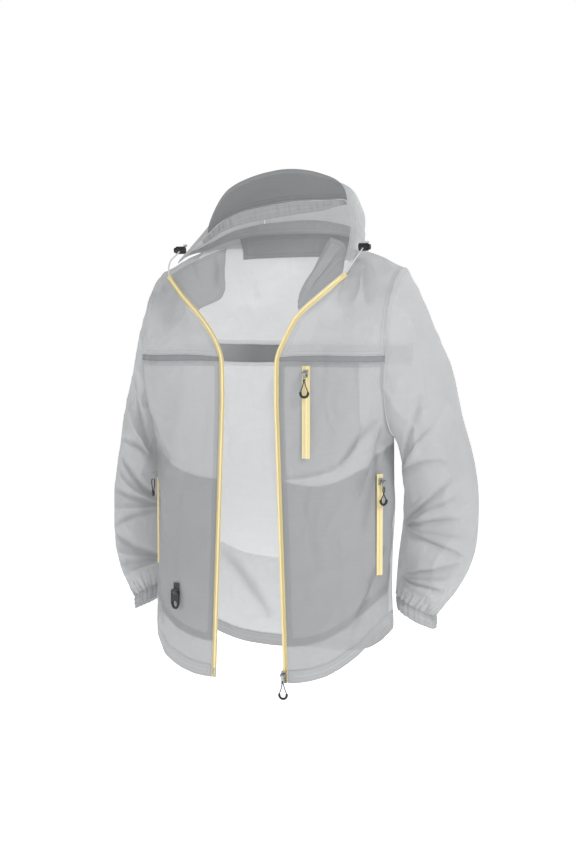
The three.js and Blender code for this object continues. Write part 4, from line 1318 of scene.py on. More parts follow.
@dataclass
class Fronts:
    """One front of the jacket: panel, chest tape, yoke, hem band, pocket bags and facing."""

    pattern: Pattern
    wardrobe: Wardrobe
    side: int
    hip_hold: float = 2.0
    tape_inset: float = 0.015
    side_pull: FoldFan = FoldFan((0.97, 0.8), (0.52, 0.62), (0.7, 0.36), 3, 12.0, 7.0)
    hem_pull: FoldFan = FoldFan((0.98, 0.26), (0.5, 0.04), (0.72, 0.16), 3, 9.0, 8.0)
    shoulder_pull: FoldFan = FoldFan((0.64, 0.98), (0.5, 0.45), (0.8, 0.45), 3, 8.0, 6.0)

    @property
    def word(self) -> str:
        """The wearer's side in words."""
        return "left" if self.side > 0 else "right"

    def folds(self) -> list[Crease]:
        """The pulls from the side seam, and those under the left shoulder."""
        panel = self.panel()
        made = self.side_pull.creases(panel) + self.hem_pull.creases(panel)
        if self.side > 0:
            made += self.shoulder_pull.creases(self.yoke())
        return made

    def hem_start(self) -> float:
        """Angle of the oval at which its front meets the zip."""
        p = self.pattern
        reach = abs(p.zip_foot(self.side)[0]) + p.panel_offset
        return self.side * math.asin((reach / p.half_width) ** (p.squareness / 2))

    def chest_line(self, level: float, start: Array, end: Array) -> Line:
        """A level line over the chest, from the zip to the armhole.

        Args:
            level: Height of the line's middle.
            start: Its end at the zip.
            end: Its end at the armhole.

        Returns:
            The line.
        """
        p = self.pattern
        return chain(spline(
            start,
            point(self.side * p.half_width * 0.56, -p.front_reach, level),
            point(self.side * p.half_width * 0.84, -p.front_corner, level),
            end,
        ))

    def panel(self) -> Surface:
        """The lower front, from the hem seam to the chest tape."""
        p, side = self.pattern, self.side
        seam = chain(
            p.side_seam(side, p.side_hem + p.band_top, -p.seam_gap),
            p.armhole(side, math.pi, p.armhole_turn(p.tape_low - p.seam_gap), -p.seam_gap),
        )
        foot, bend = p.zip_foot(side), p.zip_bend(side)
        start = foot + (bend - foot) * p.band_top / (p.straight_top - foot[2])
        edge = chain(
            p.beside(straight(start, bend), side, p.panel_offset),
            p.beside(stretch(p.zip_flare(side), 0.0, 1 / 6), side, p.panel_offset),
        )
        hem = p.hem_line(self.hem_start(), side * math.pi / 2, p.band_top)
        return filled(
            pinned(hem, end_of(edge, 0.0), end_of(seam, 0.0)),
            self.chest_line(p.tape_low - p.seam_gap, end_of(edge, 1.0), end_of(seam, 1.0)),
            edge,
            seam,
            self.hip_hold,
        )

    def tape(self) -> Surface:
        """The dark tape over the chest seam."""
        p, side = self.pattern, self.side
        edge = chain(stretch(
            p.beside(p.zip_flare(side), side, p.panel_offset),
            1 / 6 + self.tape_inset,
            2 / 6 - self.tape_inset,
        ))
        turns = (p.armhole_turn(p.tape_low + p.seam_gap), p.armhole_turn(p.tape_high - p.seam_gap))
        seam = chain(p.armhole(side, *turns, 0.0))
        ends = [(end_of(edge, k), end_of(seam, k)) for k in (0.0, 1.0)]
        return filled(
            self.chest_line(p.tape_low + p.seam_gap / 2, *ends[0]),
            self.chest_line(p.tape_high - p.seam_gap / 2, *ends[1]),
            edge,
            seam,
        )

    def yoke(self) -> Surface:
        """The upper front, from the chest tape to the lapel and the shoulder."""
        p, side = self.pattern, self.side
        edge = chain(stretch(p.beside(p.zip_flare(side), side, p.lapel_offset), 2 / 6, 1.0))
        seam = chain(p.armhole(side, p.armhole_turn(p.tape_high + p.seam_gap), 0.0, -p.seam_gap))
        crest, neck = end_of(edge, 1.0), p.neck_side
        collar = spline(
            crest,
            point(side * (p.lapel_tip[0] - 1), (crest[1] + neck[1]) / 2, (crest[2] + neck[2]) / 2 + 5),
            p.neck_point(side, -p.seam_gap),
        )
        return filled(
            self.chest_line(p.tape_high + p.seam_gap, end_of(edge, 0.0), end_of(seam, 0.0)),
            chain(collar, p.shoulder(side, -p.seam_gap)),
            edge,
            seam,
        )

    def hem(self) -> Surface:
        """The doubled band along the hem."""
        p, side = self.pattern, self.side
        foot, bend = p.zip_foot(side), p.zip_bend(side)
        share = p.hem_band / (p.straight_top - foot[2])
        edge = chain(stretch(p.beside(straight(foot, bend), side, p.panel_offset), 0.0, share))
        seam = stretch(
            p.side_seam(side, p.side_hem, -p.seam_gap), 0.0, p.hem_band / (p.underarm[1] - p.side_hem),
        )
        lines = [
            pinned(p.hem_line(self.hem_start(), side * math.pi / 2, rise), end_of(edge, k), end_of(seam, k))
            for rise, k in ((0.0, 0.0), (p.hem_band, 1.0))
        ]
        return filled(*lines, edge, seam)

    def facing(self) -> Surface:
        """The facing inside the lapel, from the zip line in to the fold beside the neck."""
        p, side = self.pattern, self.side
        line = p.beside(p.zip_flare(side), side, p.facing_offset)
        edge = chain(stretch(line, 4 / 6 + 0.04, 0.99))
        start = end_of(edge, 0.0) + point(-side * 3, 2, 3)
        if side > 0:
            fold = [point(64, -176, -122), point(74, -122, -72), point(88, -84, -24)]
            crest = [point(118, -104, -36), point(138, -156, -66)]
        else:
            fold = [point(-68, -172, -122), point(-86, -118, -72), point(-94, -92, -40)]
            crest = [point(-112, -118, -50), point(-134, -162, -70)]
        return filled(
            straight(start, end_of(edge, 0.0)),
            chain(spline(fold[-1], *crest, end_of(edge, 1.0))),
            chain(spline(start, *fold)),
            edge,
            1.0,
        )

    def bag(self, across: tuple[float, float], low: float, high: float, corner: float, dip: float) -> Surface:
        """A pocket bag behind the panel: a region of the panel with a rounded outer corner.

        The lower edge rises near the outer end as a quarter of an ellipse, and dips in
        between as a half sine.

        Args:
            across: Columns of the panel that it covers.
            low: Row of its lower edge.
            high: Row of its upper edge.
            corner: Rise of the rounded corner, in rows.
            dip: How far the upper edge sags, in rows.

        Returns:
            The surface.
        """
        panel = self.panel()
        start = 0.55

        def surface(u: Array, v: Array) -> Array:
            """Points of the surface.

            Args:
                u: Shares across.
                v: Shares along.

            Returns:
                Points of the shape (rows, columns, 3).
            """
            fine_u = across[0] + (across[1] - across[0]) * u
            fine_v = np.linspace(0.0, 1.0, 241)
            whole = panel(fine_u, fine_v)
            turn = np.clip((u - start) / (1 - start), 0.0, 1.0)
            lower = low + corner * (1.0 - np.sqrt(1.0 - turn**2 * 0.999))
            upper = high - dip * np.sin(math.pi * u)
            wanted = lower[None] + (upper - lower)[None] * v[:, None]
            place = wanted * 240.0
            below = np.minimum(place.astype(int), 239)
            share = (place - below)[..., None]
            column = np.arange(len(u))[None]
            return whole[below, column] * (1 - share) + whole[below + 1, column] * share

        return surface

    def build(self, drape: Drape) -> None:
        """Makes every cloth of this front.

        Args:
            drape: How the whole shell hangs.
        """
        w, word = self.wardrobe, self.word
        behind = self.pattern.cloth + self.pattern.layer_gap
        ClothPiece(
            f"{word}_front_panel", self.panel(), w.shell, "shell_fabric", allowances=(9.0, 6.0, 50.0, 7.5),
        ).build(drape)
        ClothPiece(f"{word}_chest_tape", self.tape(), w.tape, "dark_tape", cell=2.5).build(drape)
        ClothPiece(f"{word}_front_yoke", self.yoke(), w.yoke, "shell_fabric").build(drape)
        ClothPiece(f"{word}_hem_band", self.hem(), w.doubled, "doubled_fabric", cell=2.8).build(drape)
        ClothPiece(
            f"{word}_pocket_bag", self.bag((0.0, 1.0), 1 / 13, 8 / 13, 0.0, 0.02 * self.side + 0.02),
            w.doubled, "doubled_fabric", inset=behind,
        ).build(drape)
        ClothPiece(
            f"{word}_collar_facing", self.facing(), w.facing, "lining", cell=2.6, lively=0.6,
        ).build(drape)
        if self.side > 0:
            ClothPiece(
                "chest_pocket_bag", self.bag((0.0, 0.75), 8.05 / 13, 1.0, 0.14, 0.0),
                w.bag, "doubled_fabric", inset=behind,
            ).build(drape)


@dataclass
class Back:
    """The back: lower panel, dark band, yoke, hem band and the facing inside the neck."""

    pattern: Pattern
    wardrobe: Wardrobe
    panel_hold: float = 4.0
    yoke_hold: float = 3.0

    def chest_line(self, level: float, left: Array, right: Array) -> Line:
        """A level line over the back, from the wearer's left armhole to the right.

        Args:
            level: Height of the line's middle.
            left: Its end at the left armhole.
            right: Its end at the right armhole.

        Returns:
            The line.
        """
        p = self.pattern
        rear = p.centre_y + p.half_depth
        return chain(spline(
            left,
            point(p.half_width * 0.8, rear - 10, level),
            point(0, rear + 3, level),
            point(-p.half_width * 0.8, rear - 10, level),
            right,
        ))

    def armhole(self, side: int, start: float, end: float) -> Line:
        """The rear of an armhole between two turns."""
        return self.pattern.armhole(side, -start, -end, self.pattern.seam_gap)

    def panel(self) -> Surface:
        """The lower back."""
        p = self.pattern
        left, right = (
            chain(
                p.side_seam(side, p.side_hem + p.band_top, p.seam_gap),
                self.armhole(side, math.pi, p.armhole_turn(p.band_low - p.seam_gap)),
            )
            for side in (1, -1)
        )
        hem = p.hem_line(math.pi / 2, math.pi * 1.5, p.band_top)
        return filled(
            pinned(hem, end_of(left, 0.0), end_of(right, 0.0)),
            self.chest_line(p.band_low - p.seam_gap, end_of(left, 1.0), end_of(right, 1.0)),
            left,
            right,
            self.panel_hold,
        )

    def band(self) -> Surface:
        """The dark band."""
        p = self.pattern
        turns = (p.armhole_turn(p.band_low), p.armhole_turn(p.band_high))
        left, right = (chain(self.armhole(side, *turns)) for side in (1, -1))
        return filled(
            self.chest_line(p.band_low, end_of(left, 0.0), end_of(right, 0.0)),
            self.chest_line(p.band_high, end_of(left, 1.0), end_of(right, 1.0)),
            left,
            right,
        )

    def hem(self) -> Surface:
        """The doubled band along the hem."""
        p = self.pattern
        share = p.hem_band / (p.underarm[1] - p.side_hem)
        left, right = (stretch(p.side_seam(side, p.side_hem, p.seam_gap), 0.0, share) for side in (1, -1))
        lines = [
            pinned(p.hem_line(math.pi / 2, math.pi * 1.5, rise), end_of(left, k), end_of(right, k))
            for rise, k in ((0.0, 0.0), (p.hem_band, 1.0))
        ]
        return filled(*lines, left, right)

    def yoke(self) -> Surface:
        """The upper back, up to the shoulders and the neck."""
        p = self.pattern
        low = p.band_high + p.seam_gap
        left, right = (chain(self.armhole(side, p.armhole_turn(low), 0.0)) for side in (1, -1))
        return filled(
            self.chest_line(low, end_of(left, 0.0), end_of(right, 0.0)),
            chain(
                backwards(p.shoulder(1, p.seam_gap)),
                p.neck_line(p.seam_gap, 0.0),
                p.shoulder(-1, p.seam_gap),
            ),
            left,
            right,
            self.yoke_hold,
        )

    def build(self, drape: Drape) -> None:
        """Makes the cloths of the back.

        Args:
            drape: How the whole shell hangs.
        """
        w = self.wardrobe
        behind = self.pattern.cloth + self.pattern.layer_gap
        ClothPiece(
            "back_panel", self.panel(), w.back, "shell_fabric", cell=4.2, allowances=(7.5, 7.5, 138.0, 7.5),
        ).build(drape)
        ClothPiece("back_band_tape", self.band(), w.band, "dark_tape", cell=3.6).build(drape)
        ClothPiece("back_hem_band", self.hem(), w.doubled, "doubled_fabric").build(drape)
        ClothPiece("back_yoke", self.yoke(), w.back, "shell_fabric", cell=4.0).build(drape)
        ClothPiece(
            "back_neck_facing", self.yoke(), w.facing, "dark_tape", inset=behind,
            columns=(7 / 24, 17 / 24), rows=(7 / 9, 1.0),
        ).build(drape)


@dataclass
class Sleeve:
    """One sleeve with its gathered cuff."""

    pattern: Pattern
    wardrobe: Wardrobe
    side: int
    length: float = 565.0
    cuff_height: float = 23.0
    cuff_half_width: float = 35.0
    cuff_half_depth: float = 33.0
    cuff_x: float = 240.0
    ease: float = 0.85
    tuck_left: tuple[float, ...] = (0, 6, 6, 4, 0, 0, 0, 0, 0)
    inner_in: tuple[float, ...] = (0, 1, 5, 11, 16, 17, 15, 8, 1)
    tuck_right: tuple[float, ...] = (0, 21, 31, 17, 10, -2, -10, -14, 0)
    gathers: int = 23
    gather_depth: float = 3.0
    gather_fade: float = 34.0
    fans: tuple[FoldFan, ...] = (
        FoldFan((0.46, 0.3), (0.2, 0.22), (0.16, 0.42), 3, 8.0, 6.0),
        FoldFan((0.46, 0.57), (0.16, 0.46), (0.1, 0.7), 5, 7.5, 7.0),
        FoldFan((0.45, 0.8), (0.12, 0.72), (0.14, 0.9), 4, 8.0, 7.0),
        FoldFan((0.6, 0.55), (0.86, 0.44), (0.88, 0.68), 3, 11.0, 8.0),
    )
    left_slip: float = 0.04

    def arm(self) -> Surface:
        """The sleeve's cloth."""
        outer, inner, depth = self.stations()
        return self.tube(spline(*outer), spline(*inner), spline(*depth))

    def folds(self) -> list[Crease]:
        """The fans at the armhole, the elbow, the forearm and behind the elbow."""
        slip = self.left_slip if self.side > 0 else 0.0
        return [crease for fan in self.fans for crease in fan.creases(self.arm(), True, slip)]

    def stations(self) -> tuple[Array, Array, Array]:
        """The sleeve's outer line, inner line and half depth, from shoulder to cuff.

        Returns:
            Three arrays of one knot for each station.
        """
        p, tip, under = self.pattern, self.pattern.tip, self.pattern.underarm
        half, y, tip_x = p.armhole_half, p.centre_y, p.tip_x(self.side)
        fall = tip[1] - self.length * np.array([0, 0.09, 0.245, 0.41, 0.57, 0.71, 0.835, 0.925, 1])
        outer_x = np.array([
            tip_x + self.ease, *(tip_x + np.array([35, 70, 95, 111, 117, 112, 88])),
            self.cuff_x + self.cuff_half_width - 5,
        ])
        inner_x = np.array([
            under[0] + self.ease, *(under[0] + np.array([9, 14, 18, 20, 19, 14, 8])),
            self.cuff_x - self.cuff_half_width + 4,
        ])
        inner_z = np.array([
            under[1], *(under[1] - np.array([17, 36, 68, 106, 152, 208, 240])), tip[1] - self.length * 0.943,
        ])
        depth_y = y + np.array([0, 1, 8, 21, 38, 50, 47, 34, 22])
        halves = half - np.array([0, 4, 10, 16, 22, 27, 31, 39, half - self.cuff_half_depth])
        tuck = np.array(self.tuck_left if self.side > 0 else self.tuck_right, float)
        outer = np.stack([self.side * (outer_x - tuck), depth_y, fall], axis=1)
        inner = np.stack([self.side * (inner_x - np.array(self.inner_in)), depth_y, inner_z], axis=1)
        return outer, inner, np.stack([halves, halves * 0, halves * 0], axis=1)

    @staticmethod
    def tube(outer: Line, inner: Line, depth: Line) -> Surface:
        """Ellipses between two lines: the middle, plus half the reach times the cosine of
        the turn, less the half depth times its sine.

        Args:
            outer: Line down the outside.
            inner: Line down the inside.
            depth: Half depth, in its first part.

        Returns:
            The surface.
        """

        def surface(u: Array, v: Array) -> Array:
            """Points of the surface.

            Args:
                u: Shares across.
                v: Shares along.

            Returns:
                Points of the shape (rows, columns, 3).
            """
            turn = 2 * math.pi * u[None, :, None]
            a, b, half = outer(v)[:, None], inner(v)[:, None], depth(v)[:, None, :1]
            return (a + b) / 2 + (a - b) / 2 * np.cos(turn) + FORWARD * half * np.sin(turn)

        return surface

    def pleats(self, turn: Array, strength: Array) -> Array:
        """Uneven gathers round the sleeve: the sum of two sines of the turn.

        Args:
            turn: Turns of the columns.
            strength: Depth on each row.

        Returns:
            The push outwards of each point.
        """
        even = np.sin(self.gathers * turn)
        uneven = np.sin((self.gathers * 1.62) * turn + 1.3 * np.sin(3 * turn))
        wave = even * 0.6 + uneven * 0.4
        return strength[:, None] * wave[None]

    def build(self, drape: Drape) -> None:
        """Makes the sleeve and the cuff.

        Args:
            drape: How the whole shell hangs.
        """
        word = "left" if self.side > 0 else "right"
        outer, inner, depth = self.stations()

        def gathered(u: Array, v: Array, _: Array) -> Array:
            """Gathers that fade up the sleeve."""
            down = (1.0 - v) * self.length
            return self.pleats(2 * math.pi * u, self.gather_depth * np.exp(-down / self.gather_fade))

        ClothPiece(
            f"{word}_sleeve", self.arm(), self.wardrobe.sleeve, "shell_fabric", cell=2.8, closed=True,
            outward=Outward.OWN_MIDDLE, extra=gathered, lively=1.25,
        ).build(drape)
        gap = 2 * self.pattern.layer_gap
        falls = np.array([gap, self.cuff_height / 2, self.cuff_height])
        down = np.stack([falls * 0, falls * 0, -falls], axis=1)
        cuff = self.tube(spline(*(outer[-1] + down)), spline(*(inner[-1] + down)), spline(*([depth[-1]] * 3)))

        def shirred(u: Array, v: Array, _: Array) -> Array:
            """Gathers over the elastic, pulled in at its two rows of stitches."""
            rows = self.gather_depth * (0.42 + 0.25 * np.cos(6 * math.pi * v))
            return self.pleats(2 * math.pi * u, rows) + 1.2 * np.sin(math.pi * v)[:, None]

        ClothPiece(
            f"{word}_cuff", cuff, self.wardrobe.doubled, "doubled_fabric", cell=2.0, closed=True,
            outward=Outward.OWN_MIDDLE, extra=shirred, held="gathered", lively=0.8,
        ).build(drape)


@dataclass
class Hood:
    """The hood, pushed back off the head: three panels, a stiff brim and a cord channel."""

    pattern: Pattern
    wardrobe: Wardrobe
    rise: float = 2.575
    brim_rise: float = 50.0
    brim_lean: float = 6.0
    channel_height: float = 20.0
    channel_back: float = 8.0
    seam_share: float = 0.0013
    spread: tuple[float, float] = (2.2, 3.2)
    left_bulge: float = 0.3
    folds: tuple[tuple[float, float, float, float], ...] = (
        (0, 0, 0, 0), (0.08, 3, 26, 18), (0.16, 10, 50, 2), (0.25, 20, 78, -38),
        (0.45, 26, 118, -18), (0.65, 24, 124, 40), (0.85, 12, 68, 52), (1, 0, 0, 0),
    )

    def tip(self, side: int) -> Array:
        """The lapel's tip."""
        x, y, z = self.pattern.lapel_tip
        return point(side * x, y, z)

    def rim(self) -> Line:
        """The hood's front edge, from the right lapel over the head to the left."""
        return spline(
            self.tip(-1) + point(4, 4, 6), point(-103, -150, -20), point(-64, -152, 9), point(16, -134, 31),
            point(76, -98, 36), point(109, -62, 36), point(126, -96, -24), self.tip(1) + point(-4, 4, 6),
        )

    def base(self) -> Line:
        """The hood's neck seam, from the right lapel round the back to the left."""
        p = self.pattern
        x, y, z = p.lapel_tip
        middle_y, middle_z = (y + p.neck_side[1]) / 2, (z + p.neck_side[2]) / 2 + 8
        lift = point(0, 0, self.rise)
        right = spline(
            self.tip(-1) + point(2, 8, 7), point(-x + 1, middle_y, middle_z), p.neck_point(-1, 0.0) + lift,
        )
        left = spline(
            p.neck_point(1, 0.0) + lift, point(x - 1, middle_y, middle_z), self.tip(1) + point(-2, 8, 7),
        )
        return chain(right, backwards(chain(p.neck_line(0.0, self.rise))), left)

    def surface(self) -> Surface:
        """The hood's cloth: from neck seam to rim through marks that stand out and back.

        Each mark moves outwards with a two-lobed sine of the place across and backwards
        with a power of a half sine, so that the middle falls into a pouch.
        """
        rim, base = self.rim(), self.base()

        def hood(u: Array, v: Array) -> Array:
            """Points of the surface.

            Args:
                u: Shares across.
                v: Shares along.

            Returns:
                Points of the shape (rows, columns, 3).
            """
            low, high = base(u), rim(u)
            on_left = u > 0.5
            back = np.sin(math.pi * u) ** np.where(on_left, self.spread[1], self.spread[0])
            double = np.sin(2 * math.pi * u)
            bulge = double * np.sqrt(np.abs(double)) * np.where(on_left, self.left_bulge, 1.0)
            marks = [
                low + (high - low) * share
                + np.stack([-bulge * out, behind * back, rise * back], axis=1)
                for share, out, behind, rise in self.folds
            ]
            return centripetal(np.array(marks), v)

        return hood

    def brim(self) -> Surface:
        """The brim: up and forwards from the rim, highest over the middle."""
        rim = self.rim()
        root_rise = self.pattern.cloth / 2 + self.pattern.layer_gap + 0.3 + 0.8

        def sheet(u: Array, v: Array) -> Array:
            """Points of the surface.

            Args:
                u: Shares across.
                v: Shares along.

            Returns:
                Points of the shape (rows, columns, 3).
            """
            root = rim(1 / 7 + 4 / 7 * u) + point(0, -1.2, root_rise)
            arch = (np.sin(math.pi * u) ** 0.6)[None, :, None]
            up = v[:, None, None]
            return root[None] + up * (
                point(0, -self.brim_lean, 0) * arch + point(0, 0, self.brim_rise) * (0.12 + 0.88 * arch)
            )

        return sheet

    def channel(self) -> Surface:
        """The band that holds the drawcord, hanging back and down from the rim."""
        rim = self.rim()

        def sheet(u: Array, v: Array) -> Array:
            """Points of the surface.

            Args:
                u: Shares across.
                v: Shares along.

            Returns:
                Points of the shape (rows, columns, 3).
            """
            root = rim(0.12 + 0.58 * u) + point(0, -2.0, -1.6)
            deep = (self.channel_height * (0.25 + 0.75 * np.sin(math.pi * u)))[None, :, None]
            down = v[:, None, None]
            return root[None] + down * (point(0, self.channel_back, 0) - deep * point(0, 0, 1))

        return sheet

    def ruched(self, u: Array, v: Array, _: Array) -> Array:
        """Short uneven gathers along the channel, deepest at its middle."""
        turn = 2 * math.pi * u
        wave = np.sin(31 * turn + 2.0 * np.sin(5 * turn)) * 0.6 + np.sin(17 * turn + 0.7) * 0.5
        return 1.5 * wave[None] * np.sin(math.pi * v)[:, None]

    def build(self, drape: Drape) -> None:
        """Makes the hood's cloths.

        Args:
            drape: How the whole shell hangs.
        """
        w, hood = self.wardrobe, self.surface()
        cuts = (
            ("right", (0.05, 0.36 - self.seam_share)),
            ("centre", (0.36 + self.seam_share, 0.64 - self.seam_share)),
            ("left", (0.64 + self.seam_share, 0.95)),
        )
        for word, columns in cuts:
            ClothPiece(
                f"hood_{word}_panel", hood, w.sleeve, "shell_fabric", cell=3.0, columns=columns,
                rows=(0.004, 1.0), lively=1.1,
            ).build(drape)
        ClothPiece("hood_brim", self.brim(), w.brim, "dark_tape", cell=2.6, lively=0.25).build(drape)
        ClothPiece(
            "hood_drawcord_channel", self.channel(), w.doubled, "doubled_fabric", cell=1.8,
            extra=self.ruched, held="gathered", lively=0.5,
        ).build(drape)


# ------------------------------------------------------------------ hardware


def dress(finish: bpy.types.Material, *nodes: str) -> None:
    """Gives the frame's own nodes a finish.

    Args:
        finish: The material.
        nodes: Names of the nodes.
    """
    for name in nodes:
        node = bpy.data.objects[name]
        node.data.materials.clear()
        node.data.materials.append(finish)
        log.info("%s: %s", name, finish.name)


def tube_mesh(
    name: str, path: Array, radius: float, sides: int, lean: Array, ring: bool = False
) -> bpy.types.Object:
    """A round tube along a path, with its own map in metres.

    Each point is the path plus radius times the cosine of the turn along one cross axis
    and the sine along the other; the cross axes come from the tangent and a fixed lean.

    Args:
        name: Name of the piece.
        path: Centreline in millimetres.
        radius: Radius in millimetres.
        sides: Faces round it.
        lean: A direction that the path never takes.
        ring: Whether the path closes on itself.

    Returns:
        The object.
    """
    if ring:
        tangent = unit(np.roll(path, -1, axis=0) - np.roll(path, 1, axis=0))
    else:
        tangent = unit(np.gradient(path, axis=0))
    first = unit(np.cross(tangent, lean))
    second = np.cross(tangent, first)
    turn = 2 * math.pi * np.arange(sides) / sides
    grid = path[:, None] + radius * (
        np.cos(turn)[None, :, None] * first[:, None] + np.sin(turn)[None, :, None] * second[:, None]
    )
    count = len(path)
    last = count if ring else count - 1
    j, i = np.meshgrid(np.arange(last), np.arange(sides), indexing="ij")
    corners = [(j, i), (j, i + 1), (j + 1, i + 1), (j + 1, i)]
    faces = np.stack([(a % count) * sides + b % sides for a, b in corners], axis=-1).reshape(-1, 4)
    vertices = grid.reshape(-1, 3)
    run = np.concatenate([[0.0], np.cumsum(np.linalg.norm(np.diff(path, axis=0), axis=1)), [0.0]])
    uv = np.stack([
        np.stack([b * (2 * math.pi * radius / sides) * MM, run[a] * MM], axis=-1) for a, b in corners
    ], axis=2).reshape(-1, 2)
    mesh = bpy.data.meshes.new(name)
    ends = [] if ring else [list(range(sides))[::-1], [(count - 1) * sides + k for k in range(sides)]]
    mesh.from_pydata((vertices * MM).tolist(), [], faces.tolist() + ends)
    layer = mesh.uv_layers.new(name="cloth")
    caps = np.zeros((2 * sides if ends else 0, 2))
    layer.data.foreach_set("uv", np.concatenate([uv, caps]).reshape(-1))
    mesh.shade_smooth()
    made = bpy.data.objects.new(name, mesh)
    bpy.context.scene.collection.objects.link(made)
    return made


@dataclass
class ZipHardware:
    """The front zip and the three pocket zips."""

    wardrobe: Wardrobe
    pulls: tuple[str, ...] = ("front_zip", "chest_pocket", "left_pocket", "right_pocket")

    def build(self) -> None:
        """Dresses tapes, coils, sliders, tabs and cord pulls."""
        w = self.wardrobe
        dress(w.zip_tape, "left_zip_tape", "right_zip_tape")
        dress(w.coil, "left_zip_coil", "right_zip_coil")
        dress(w.coil, "chest_pocket_zip", "left_pocket_zip", "right_pocket_zip")
        dress(w.metal, "zip_retaining_box", "zip_insertion_pin")
        for name in self.pulls:
            dress(w.metal, f"{name}_slider", f"{name}_pull_tab")
            dress(w.plastic, f"{name}_cord_pull")

    @staticmethod
    def kept_lines(pattern: Pattern) -> Array:
        """Points along every zip and at the hook and the cord locks, where the cloth stays put.

        Args:
            pattern: The jacket's pattern.

        Returns:
            The points (n, 3).
        """
        share = np.linspace(0.0, 1.0, 40)
        lines = [
            line(share)
            for side in (1, -1)
            for line in (straight(pattern.zip_foot(side), pattern.zip_bend(side)), pattern.zip_flare(side))
        ]
        centres = []
        for name in ("chest_pocket_zip", "left_pocket_zip", "right_pocket_zip", "hook_webbing"):
            low, high = (np.array(corner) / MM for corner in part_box(name))
            middle = (low + high) / 2
            foot, head = point(middle[0], middle[1], low[2]), point(middle[0], middle[1], high[2])
            centres.append(straight(foot, head)(share[::2]))
        for name in ("left_lock_body", "right_lock_body"):
            low, high = (np.array(corner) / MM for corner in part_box(name))
            centres.append(((low + high) / 2)[None])
        return np.concatenate(lines + centres)


@dataclass
class HoodCord:
    """One end of the hood's drawcord, through its lock to a knot."""

    wardrobe: Wardrobe
    side: int
    radius: float = 1.2
    bend: Colour = (161.0, -172.0, -62.0)
    slope: float = 25.0
    straight_run: float = 62.0
    knot_scale: float = 1.0

    def route(self) -> Array:
        """Out of the lapel's tip, up round a bend and straight back to the knot."""
        angle = math.radians(self.slope)
        along = point(0, math.cos(angle), math.sin(angle))
        start = point(self.side * self.bend[0], self.bend[1], self.bend[2])
        knots = [
            point(self.side * 152.7, -199.6, -87.3), point(self.side * 158, -187, -73),
            *(start + along * self.straight_run * k / 5 for k in range(6)),
        ]
        return chain(spline(*knots))(np.linspace(0.0, 1.0, 64))

    def knot(self, centre: Array) -> Array:
        """A trefoil: sine of t plus twice the sine of 2t, and so on, about the centre."""
        t = np.linspace(0.0, 2 * math.pi, 72, endpoint=False)
        x, y = np.sin(t) + 2 * np.sin(2 * t), np.cos(t) - 2 * np.cos(2 * t)
        loop = np.stack([x, y, -np.sin(3 * t)], axis=1)
        return centre + loop * self.knot_scale

    def build(self) -> None:
        """Makes the cord and its knot, and dresses the lock on it."""
        word = "left" if self.side > 0 else "right"
        path = self.route()
        cord = tube_mesh(f"{word}_elastic_cord", path, self.radius, 12, point(1, 0, 0))
        knot_path = self.knot(path[-1] + point(0, 2, 1))
        knot = tube_mesh(f"{word}_cord_knot", knot_path, self.radius * 0.9, 10, point(0, 0, 1), True)
        for piece in (cord, knot):
            piece.data.materials.append(self.wardrobe.elastic)
            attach(piece, "root")
        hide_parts(f"{word}_hood_cord")
        steps = np.linalg.norm(np.diff(path, axis=0), axis=1)
        tuple(path[0] * MM)
        2 * self.radius * MM
        (path * MM).tolist()
        dress(self.wardrobe.plastic, f"{word}_lock_body", f"{word}_lock_plunger")
        dress(self.wardrobe.metal, f"{word}_lock_spring")
        log.info("%s: %.0f mm", cord.name, steps.sum())


# ------------------------------------------------------------------ studio


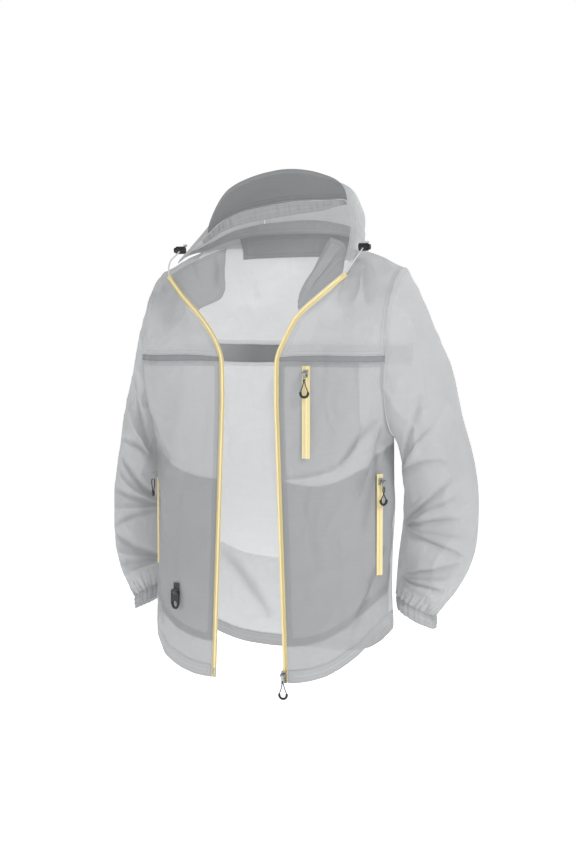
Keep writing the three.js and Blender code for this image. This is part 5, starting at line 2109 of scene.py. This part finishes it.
@dataclass
class Studio:
    """A pale floor, a pale sky, two soft lamps and the camera, in metres."""

    floor_level: float = -1.05
    floor_radius: float = 60.0
    sky: float = 0.42
    backdrop: float = 1.0
    camera_place: Colour = (0.889, -2.489, -0.170)
    camera_aim: Colour = (0.0188, -0.0982, -0.348)
    lens: float = 63.33

    def floor(self) -> None:
        """A flat round floor."""
        turn = np.linspace(0.0, 2 * math.pi, 96, endpoint=False)
        rim = np.stack([
            self.floor_radius * np.cos(turn), self.floor_radius * np.sin(turn), turn * 0 + self.floor_level,
        ], axis=1)
        mesh = bpy.data.meshes.new("floor")
        mesh.from_pydata(rim.tolist(), [], [list(range(len(rim)))])
        floor = bpy.data.objects.new("floor", mesh)
        bpy.context.scene.collection.objects.link(floor)
        mesh.materials.append(StudioPaint().material())

    @staticmethod
    def lamp(name: str, place: Colour, aim: Colour, size: float, power: float) -> None:
        """A square soft lamp that faces its aim.

        Args:
            name: Its name.
            place: Where it stands.
            aim: What it faces.
            size: Side in metres.
            power: Power in watts.
        """
        data = bpy.data.lights.new(name, "AREA")
        data.size = size
        data.energy = power
        lamp = bpy.data.objects.new(name, data)
        lamp.location = place
        lamp.rotation_euler = (Vector(aim) - Vector(place)).to_track_quat("-Z", "Y").to_euler()
        bpy.context.scene.collection.objects.link(lamp)

    def camera(self) -> None:
        """The camera, level with the chest and a little to the wearer's left."""
        data = bpy.data.cameras.new("camera")
        data.lens = self.lens
        camera = bpy.data.objects.new("camera", data)
        camera.location = self.camera_place
        look = Vector(self.camera_aim) - Vector(self.camera_place)
        camera.rotation_euler = look.to_track_quat("-Z", "Y").to_euler()
        bpy.context.scene.collection.objects.link(camera)
        bpy.context.scene.camera = camera

    def world(self) -> None:
        """An even pale sky."""
        world = bpy.data.worlds.new("sky")
        world.use_nodes = True
        tree = world.node_tree
        output = tree.nodes["World Output"]
        dim = tree.nodes["Background"]
        dim.inputs["Color"].default_value = (1.0, 1.0, 1.0, 1.0)
        dim.inputs["Strength"].default_value = self.sky
        seen = tree.nodes.new("ShaderNodeBackground")
        seen.inputs["Strength"].default_value = self.backdrop
        rays = tree.nodes.new("ShaderNodeLightPath")
        pick = tree.nodes.new("ShaderNodeMixShader")
        seen.inputs["Color"].default_value = (1.0, 1.0, 1.0, 1.0)
        for start, end in (
            (rays.outputs["Is Camera Ray"], pick.inputs[0]), (dim.outputs[0], pick.inputs[1]),
            (seen.outputs[0], pick.inputs[2]), (pick.outputs[0], output.inputs["Surface"]),
        ):
            tree.links.new(start, end)
        bpy.context.scene.world = world

    def build(self) -> None:
        """Sets the stage."""
        bpy.context.scene.view_settings.view_transform = "Standard"
        self.camera()
        self.world()
        self.floor()
        aim = (0.0, -0.1, -0.35)
        self.lamp("key", (2.3, -1.7, 1.5), aim, 0.8, 58.0)
        self.lamp("fill", (-2.4, -1.6, 0.6), aim, 1.0, 18.0)
        self.lamp("rear", (0.6, 2.6, 1.4), aim, 1.8, 30.0)


# ------------------------------------------------------------------ the jacket


LAPEL_FOLDS: list[Crease] = [
    Crease(((78, -172, -118), (112, -110, -44)), 7, -6, (0.5, -0.6, 0.6)),
    Crease(((92, -186, -126), (132, -146, -62)), 6, 5, (0.5, -0.6, 0.6)),
    Crease(((70, -150, -96), (92, -92, -34)), 6, 5, (0.5, -0.6, 0.6)),
    Crease(((-84, -164, -112), (-106, -112, -52)), 7, -6, (-0.5, -0.6, 0.6)),
    Crease(((-98, -184, -122), (-126, -150, -68)), 6, 5, (-0.5, -0.6, 0.6)),
]
BACK_FOLDS: list[Crease] = [
    Crease(((-60, 30, -260), (-30, 30, -600)), 26, 9, (0, 1, 0)),
    Crease(((70, 30, -260), (90, 30, -560)), 26, -8, (0, 1, 0)),
    Crease(((-25, 30, -330), (5, 30, -500)), 14, -6, (0, 1, 0)),
    Crease(((-150, 5, -560), (-60, 28, -690)), 18, 7, (0, 1, 0)),
    Crease(((150, 5, -520), (60, 28, -650)), 18, -7, (0, 1, 0)),
]


def main() -> None:
    """Builds the stage, the cloth and the hardware in order."""
    logging.basicConfig(level=logging.INFO, format="%(message)s")
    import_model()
    Studio().build()
    pattern, wardrobe = Pattern(), Wardrobe.stitched()
    for side in (1, -1):
        HoodCord(wardrobe, side).build()
    fronts = [Fronts(pattern, wardrobe, side) for side in (1, -1)]
    sleeves = [Sleeve(pattern, wardrobe, side) for side in (1, -1)]
    creases = [*LAPEL_FOLDS, *BACK_FOLDS]
    for part in (*fronts, *sleeves):
        creases += part.folds()
    drape = Drape(ZipHardware.kept_lines(pattern), creases)
    for part in (*fronts, *sleeves):
        part.build(drape)
    Back(pattern, wardrobe).build(drape)
    Hood(pattern, wardrobe).build(drape)
    ZipHardware(wardrobe).build()
    dress(wardrobe.webbing, "hook_webbing")
    dress(wardrobe.plastic, "accessory_hook")


if __name__ == "__main__":
    main()
